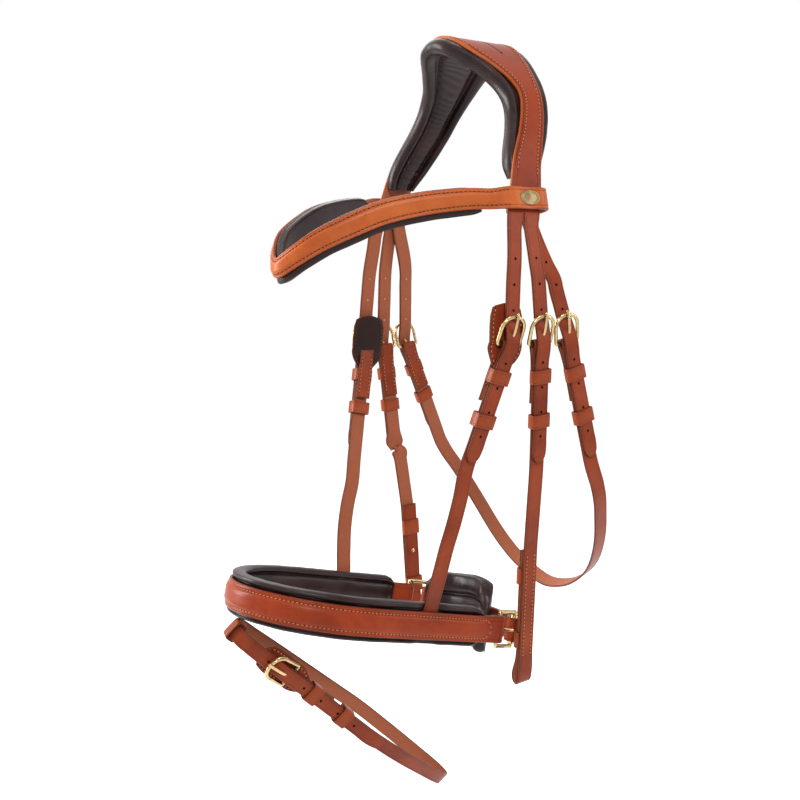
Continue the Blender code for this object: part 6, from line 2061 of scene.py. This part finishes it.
def build():
    arch = Arch()
    let_down = {1: 0.0, -1: FAR_HOLES_LOWER * HOLE_PITCH}
    hangers, cheeks, hanger_seats, cheek_seats = {}, {}, {}, {}
    for side, lowered in let_down.items():
        hangers[side] = Guide(hanger_rows(side, lowered), NOSE_BACKWARD, side)
        cheeks[side] = Guide(cheek_rows(side, lowered), Y_AXIS, side)
        hanger_seats[side] = bar_seat(
            hangers[side], HANGER_SHARES, HANGER_BAR_ROW, side, lowered)
        cheek_seats[side] = bar_seat(
            cheeks[side], CHEEK_SHARES, CHEEK_BAR_ROW, side, lowered)
    throat = Guide(throat_rows(let_down[-1]), THROAT_ACROSS, 1)
    throat_seats = {
        side: bar_seat(throat, THROAT_SHARES, THROAT_BAR_ROW, side, lowered, side)
        for side, lowered in let_down.items()
    }
    nose = Guide(nose_rows(), NOSE_ACROSS, -1)
    crank = Guide(crank_rows(Seat(nose, 0.0, 1), Seat(nose, nose.total, -1)), NOSE_ACROSS, 1)
    flash = Guide(flash_rows(), flash_axes()[3], 1, True)
    buckle = buckle_mesh("strap_buckle", BUCKLE_HALF, BUCKLE_REACH)
    tongue = tongue_mesh("strap_tongue", WIRE_RADIUS, BUCKLE_REACH, TONGUE_REST_N)

    headpiece(arch, {side: (hanger_seats[side], cheek_seats[side]) for side in (1, -1)})
    crown_pad(arch)
    browband(arch)
    browband_pad()
    badge("badge_near", arch, 1)
    noseband(nose)
    noseband_pad(nose, [nose_distance(nose, side) for side in (1, -1)])
    for side, word in ((1, "near"), (-1, "far")):
        throat_billet("throat_billet_" + word, throat_seats[side], side > 0)
        hanger("hanger_" + word, hangers[side], hanger_seats[side])
        cheekpiece("cheekpiece_" + word, cheeks[side], cheek_seats[side])
        guard("hanger_guard_" + word, hanger_seats[side], GUARDED_FOLD, GUARD_RISE, GUARD_DROP,
              GUARD_HALF_WIDTH)
        buckled("hanger_" + word, hanger_seats[side], GUARDED_FOLD, (buckle, tongue))
        buckled("cheek_" + word, cheek_seats[side], STRAP_FOLD, (buckle, tongue))
        buckled("throat_" + word, throat_seats[side], STRAP_FOLD, (buckle, tongue))
        hook_stud("hook_stud_" + word, cheek_seats[side], cheeks[side])
        lower_keeper("bit_runner_" + word, cheek_seats[side], cheeks[side], LOWER_RUNNER_RISE)
        lower_keeper("bit_keeper_" + word, cheek_seats[side], cheeks[side], LOWER_KEEPER_RISE)
    throatlatch(throat, throat_seats)
    closure(nose, crank)
    flash_parts(flash)


# rows of stitches: how far in from the edge, and where they start and stop along a strap
LAP_ROW = (LAP_INSET, 0.004, LAP_LENGTH - 0.008)
NEXT_LAP_ROW = (LAP_INSET, LAP_LENGTH + 0.012, 2 * LAP_LENGTH + 0.002)
CROWN_ROW = (0.0046, 0.020, 0.034)
BROW_ROW = (0.0028, 0.079, 0.079)
NOSE_ROW = (0.0034, 0.041, 0.041)
GUARD_ROW = (0.0024, 0.0045, 0.004)
NOSE_POINT_SLOPE = 1.3
# above the bit end's fold, along the turned-up leather
CHEEK_ROW = (0.0031, TURN_UP + 0.118, TURN_UP + 0.029)


def sew():
    """Rows of stitches on the crown, browband, noseband, laps, cheek ends and hangers."""
    for name, node, (inset, start, stop), finish in (
            ("crown_stitches", "headpiece", CROWN_ROW, "thread"),
            ("browband_stitches", "browband", BROW_ROW, "dark_thread")):
        run = RUNS[node]
        add_stitches(name, node, both_sides(run, start, run.total - stop, inset), finish)
        if node == "headpiece":
            crown_slit(run)
    nose = RUNS["noseband"]
    inset, start, stop = NOSE_ROW

    def narrowing(arc):
        """The rows close to a point at both ends of the noseband."""
        return min(nose.at(arc)[1].length - inset,
                   NOSE_POINT_SLOPE * (min(arc, nose.total - arc) - start))

    add_stitches("noseband_stitches", "noseband",
                 both_edges(nose, start, nose.total - stop, narrowing))
    for word in ("near", "far"):
        for name in ("hanger_" + word, "cheekpiece_" + word):
            run = RUNS[name]
            rows = [LAP_ROW, NEXT_LAP_ROW]
            if name.startswith("cheekpiece"):
                rows.append((CHEEK_ROW[0], run.total - CHEEK_ROW[1], run.total - CHEEK_ROW[2]))
            add_stitches(name + "_stitches", name, [
                line for inset, start, end in rows for line in both_sides(run, start, end, inset)])
    run = RUNS["throatlatch"]
    inset, start, end = LAP_ROW
    add_stitches("throatlatch_stitches", "throatlatch",
                 both_sides(run, start, end, inset)
                 + both_sides(run, run.total - end, run.total - start, inset))


# stage, light and camera

FLOOR_Z = -0.95
FLOOR_HALF = 12
FLOOR_GLOW = 0.78


def seen_directly(tree):
    """One where a ray comes from the camera, a gloss or a clear material, and else zero."""
    path = add_node(tree, "ShaderNodeLightPath", {}).outputs
    seen = maths(tree, "MAXIMUM", path["Is Camera Ray"], path["Is Glossy Ray"])
    return maths(tree, "MAXIMUM", seen, path["Is Transmission Ray"])


def floor():
    finish, tree, shader, coords = new_material("pale_floor")
    wire(tree, shader, {
        "Base Color": ramp(tree, cloudy(tree, coords, 3.0), ((0.3, grey(0.80)), (0.7, grey(0.84)))),
        "Roughness": 0.9, "Specular IOR Level": 0.1, "Emission Color": grey(1.0),
        "Emission Strength": maths(tree, "MULTIPLY", seen_directly(tree), FLOOR_GLOW)})
    shape = bmesh.new()
    shape.faces.new([shape.verts.new((x, y, FLOOR_Z)) for x, y in (
        (-FLOOR_HALF, -FLOOR_HALF), (FLOOR_HALF, -FLOOR_HALF), (FLOOR_HALF, FLOOR_HALF),
        (-FLOOR_HALF, FLOOR_HALF))])
    mesh = bpy.data.meshes.new("floor")
    shape.to_mesh(mesh)
    shape.free()
    mesh.materials.append(finish)
    add_object("floor", mesh)


# the white world's strength as a light; it is seen at full strength
SOFT_LIGHT = 0.34
# area lamps: name, place, size and power, each turned to the bridle's middle
LAMP_TARGET = Vector((0.0, -0.05, -0.30))
LAMPS = (
    ("key", (1.5, -0.9, 0.9), (0.35, 0.35), 21), ("left", (-1.15, -1.35, 0.2), (0.45, 1.2), 34),
    ("right", (0.9, 1.2, 0.2), (0.25, 1.1), 6), ("top", (0.0, 0.1, 1.5), (0.4, 0.4), 8),
    ("rim", (-1.2, 0.2, 0.65), (1.1, 1.1), 10),
)


def light():
    world = bpy.data.worlds.new("studio")
    bpy.context.scene.world = world
    world.use_nodes = True
    tree = world.node_tree
    bright = maths(tree, "MULTIPLY", seen_directly(tree), 1 - SOFT_LIGHT)
    wire(tree, tree.nodes["Background"], {
        "Color": grey(1.0), "Strength": maths(tree, "ADD", bright, SOFT_LIGHT)})
    for name, place, size, power in LAMPS:
        data = bpy.data.lights.new(name, "AREA")
        data.shape = "RECTANGLE"
        data.size, data.size_y = size
        data.energy = power
        item = add_object(name, data)
        item.location = place
        turn = (LAMP_TARGET - Vector(place)).to_track_quat("-Z", "Y")
        item.rotation_euler = turn.to_euler()


CAMERA_PLACE = (0.6407, -0.5029, -0.1595)
CAMERA_AZIMUTH = math.radians(56)
CAMERA_DOWN = math.radians(8.7)
SENSOR = 36.0
# solved from the photo, which is as wide as PHOTO_PIXELS
FOCAL_PIXELS = 950
PHOTO_PIXELS = 800


def camera():
    data = bpy.data.cameras.new("camera")
    data.sensor_width = SENSOR
    data.lens = SENSOR * FOCAL_PIXELS / PHOTO_PIXELS
    item = add_object("camera", data)
    item.location = CAMERA_PLACE
    level = math.cos(CAMERA_DOWN)
    ahead = Vector((-math.sin(CAMERA_AZIMUTH) * level, math.cos(CAMERA_AZIMUTH) * level,
                    -math.sin(CAMERA_DOWN)))
    item.rotation_euler = ahead.to_track_quat("-Z", "Y").to_euler()
    bpy.context.scene.camera = item


build()
sew()
floor()
light()
camera()
bpy.context.scene.view_settings.view_transform = "Standard"
bpy.context.view_layer.update()
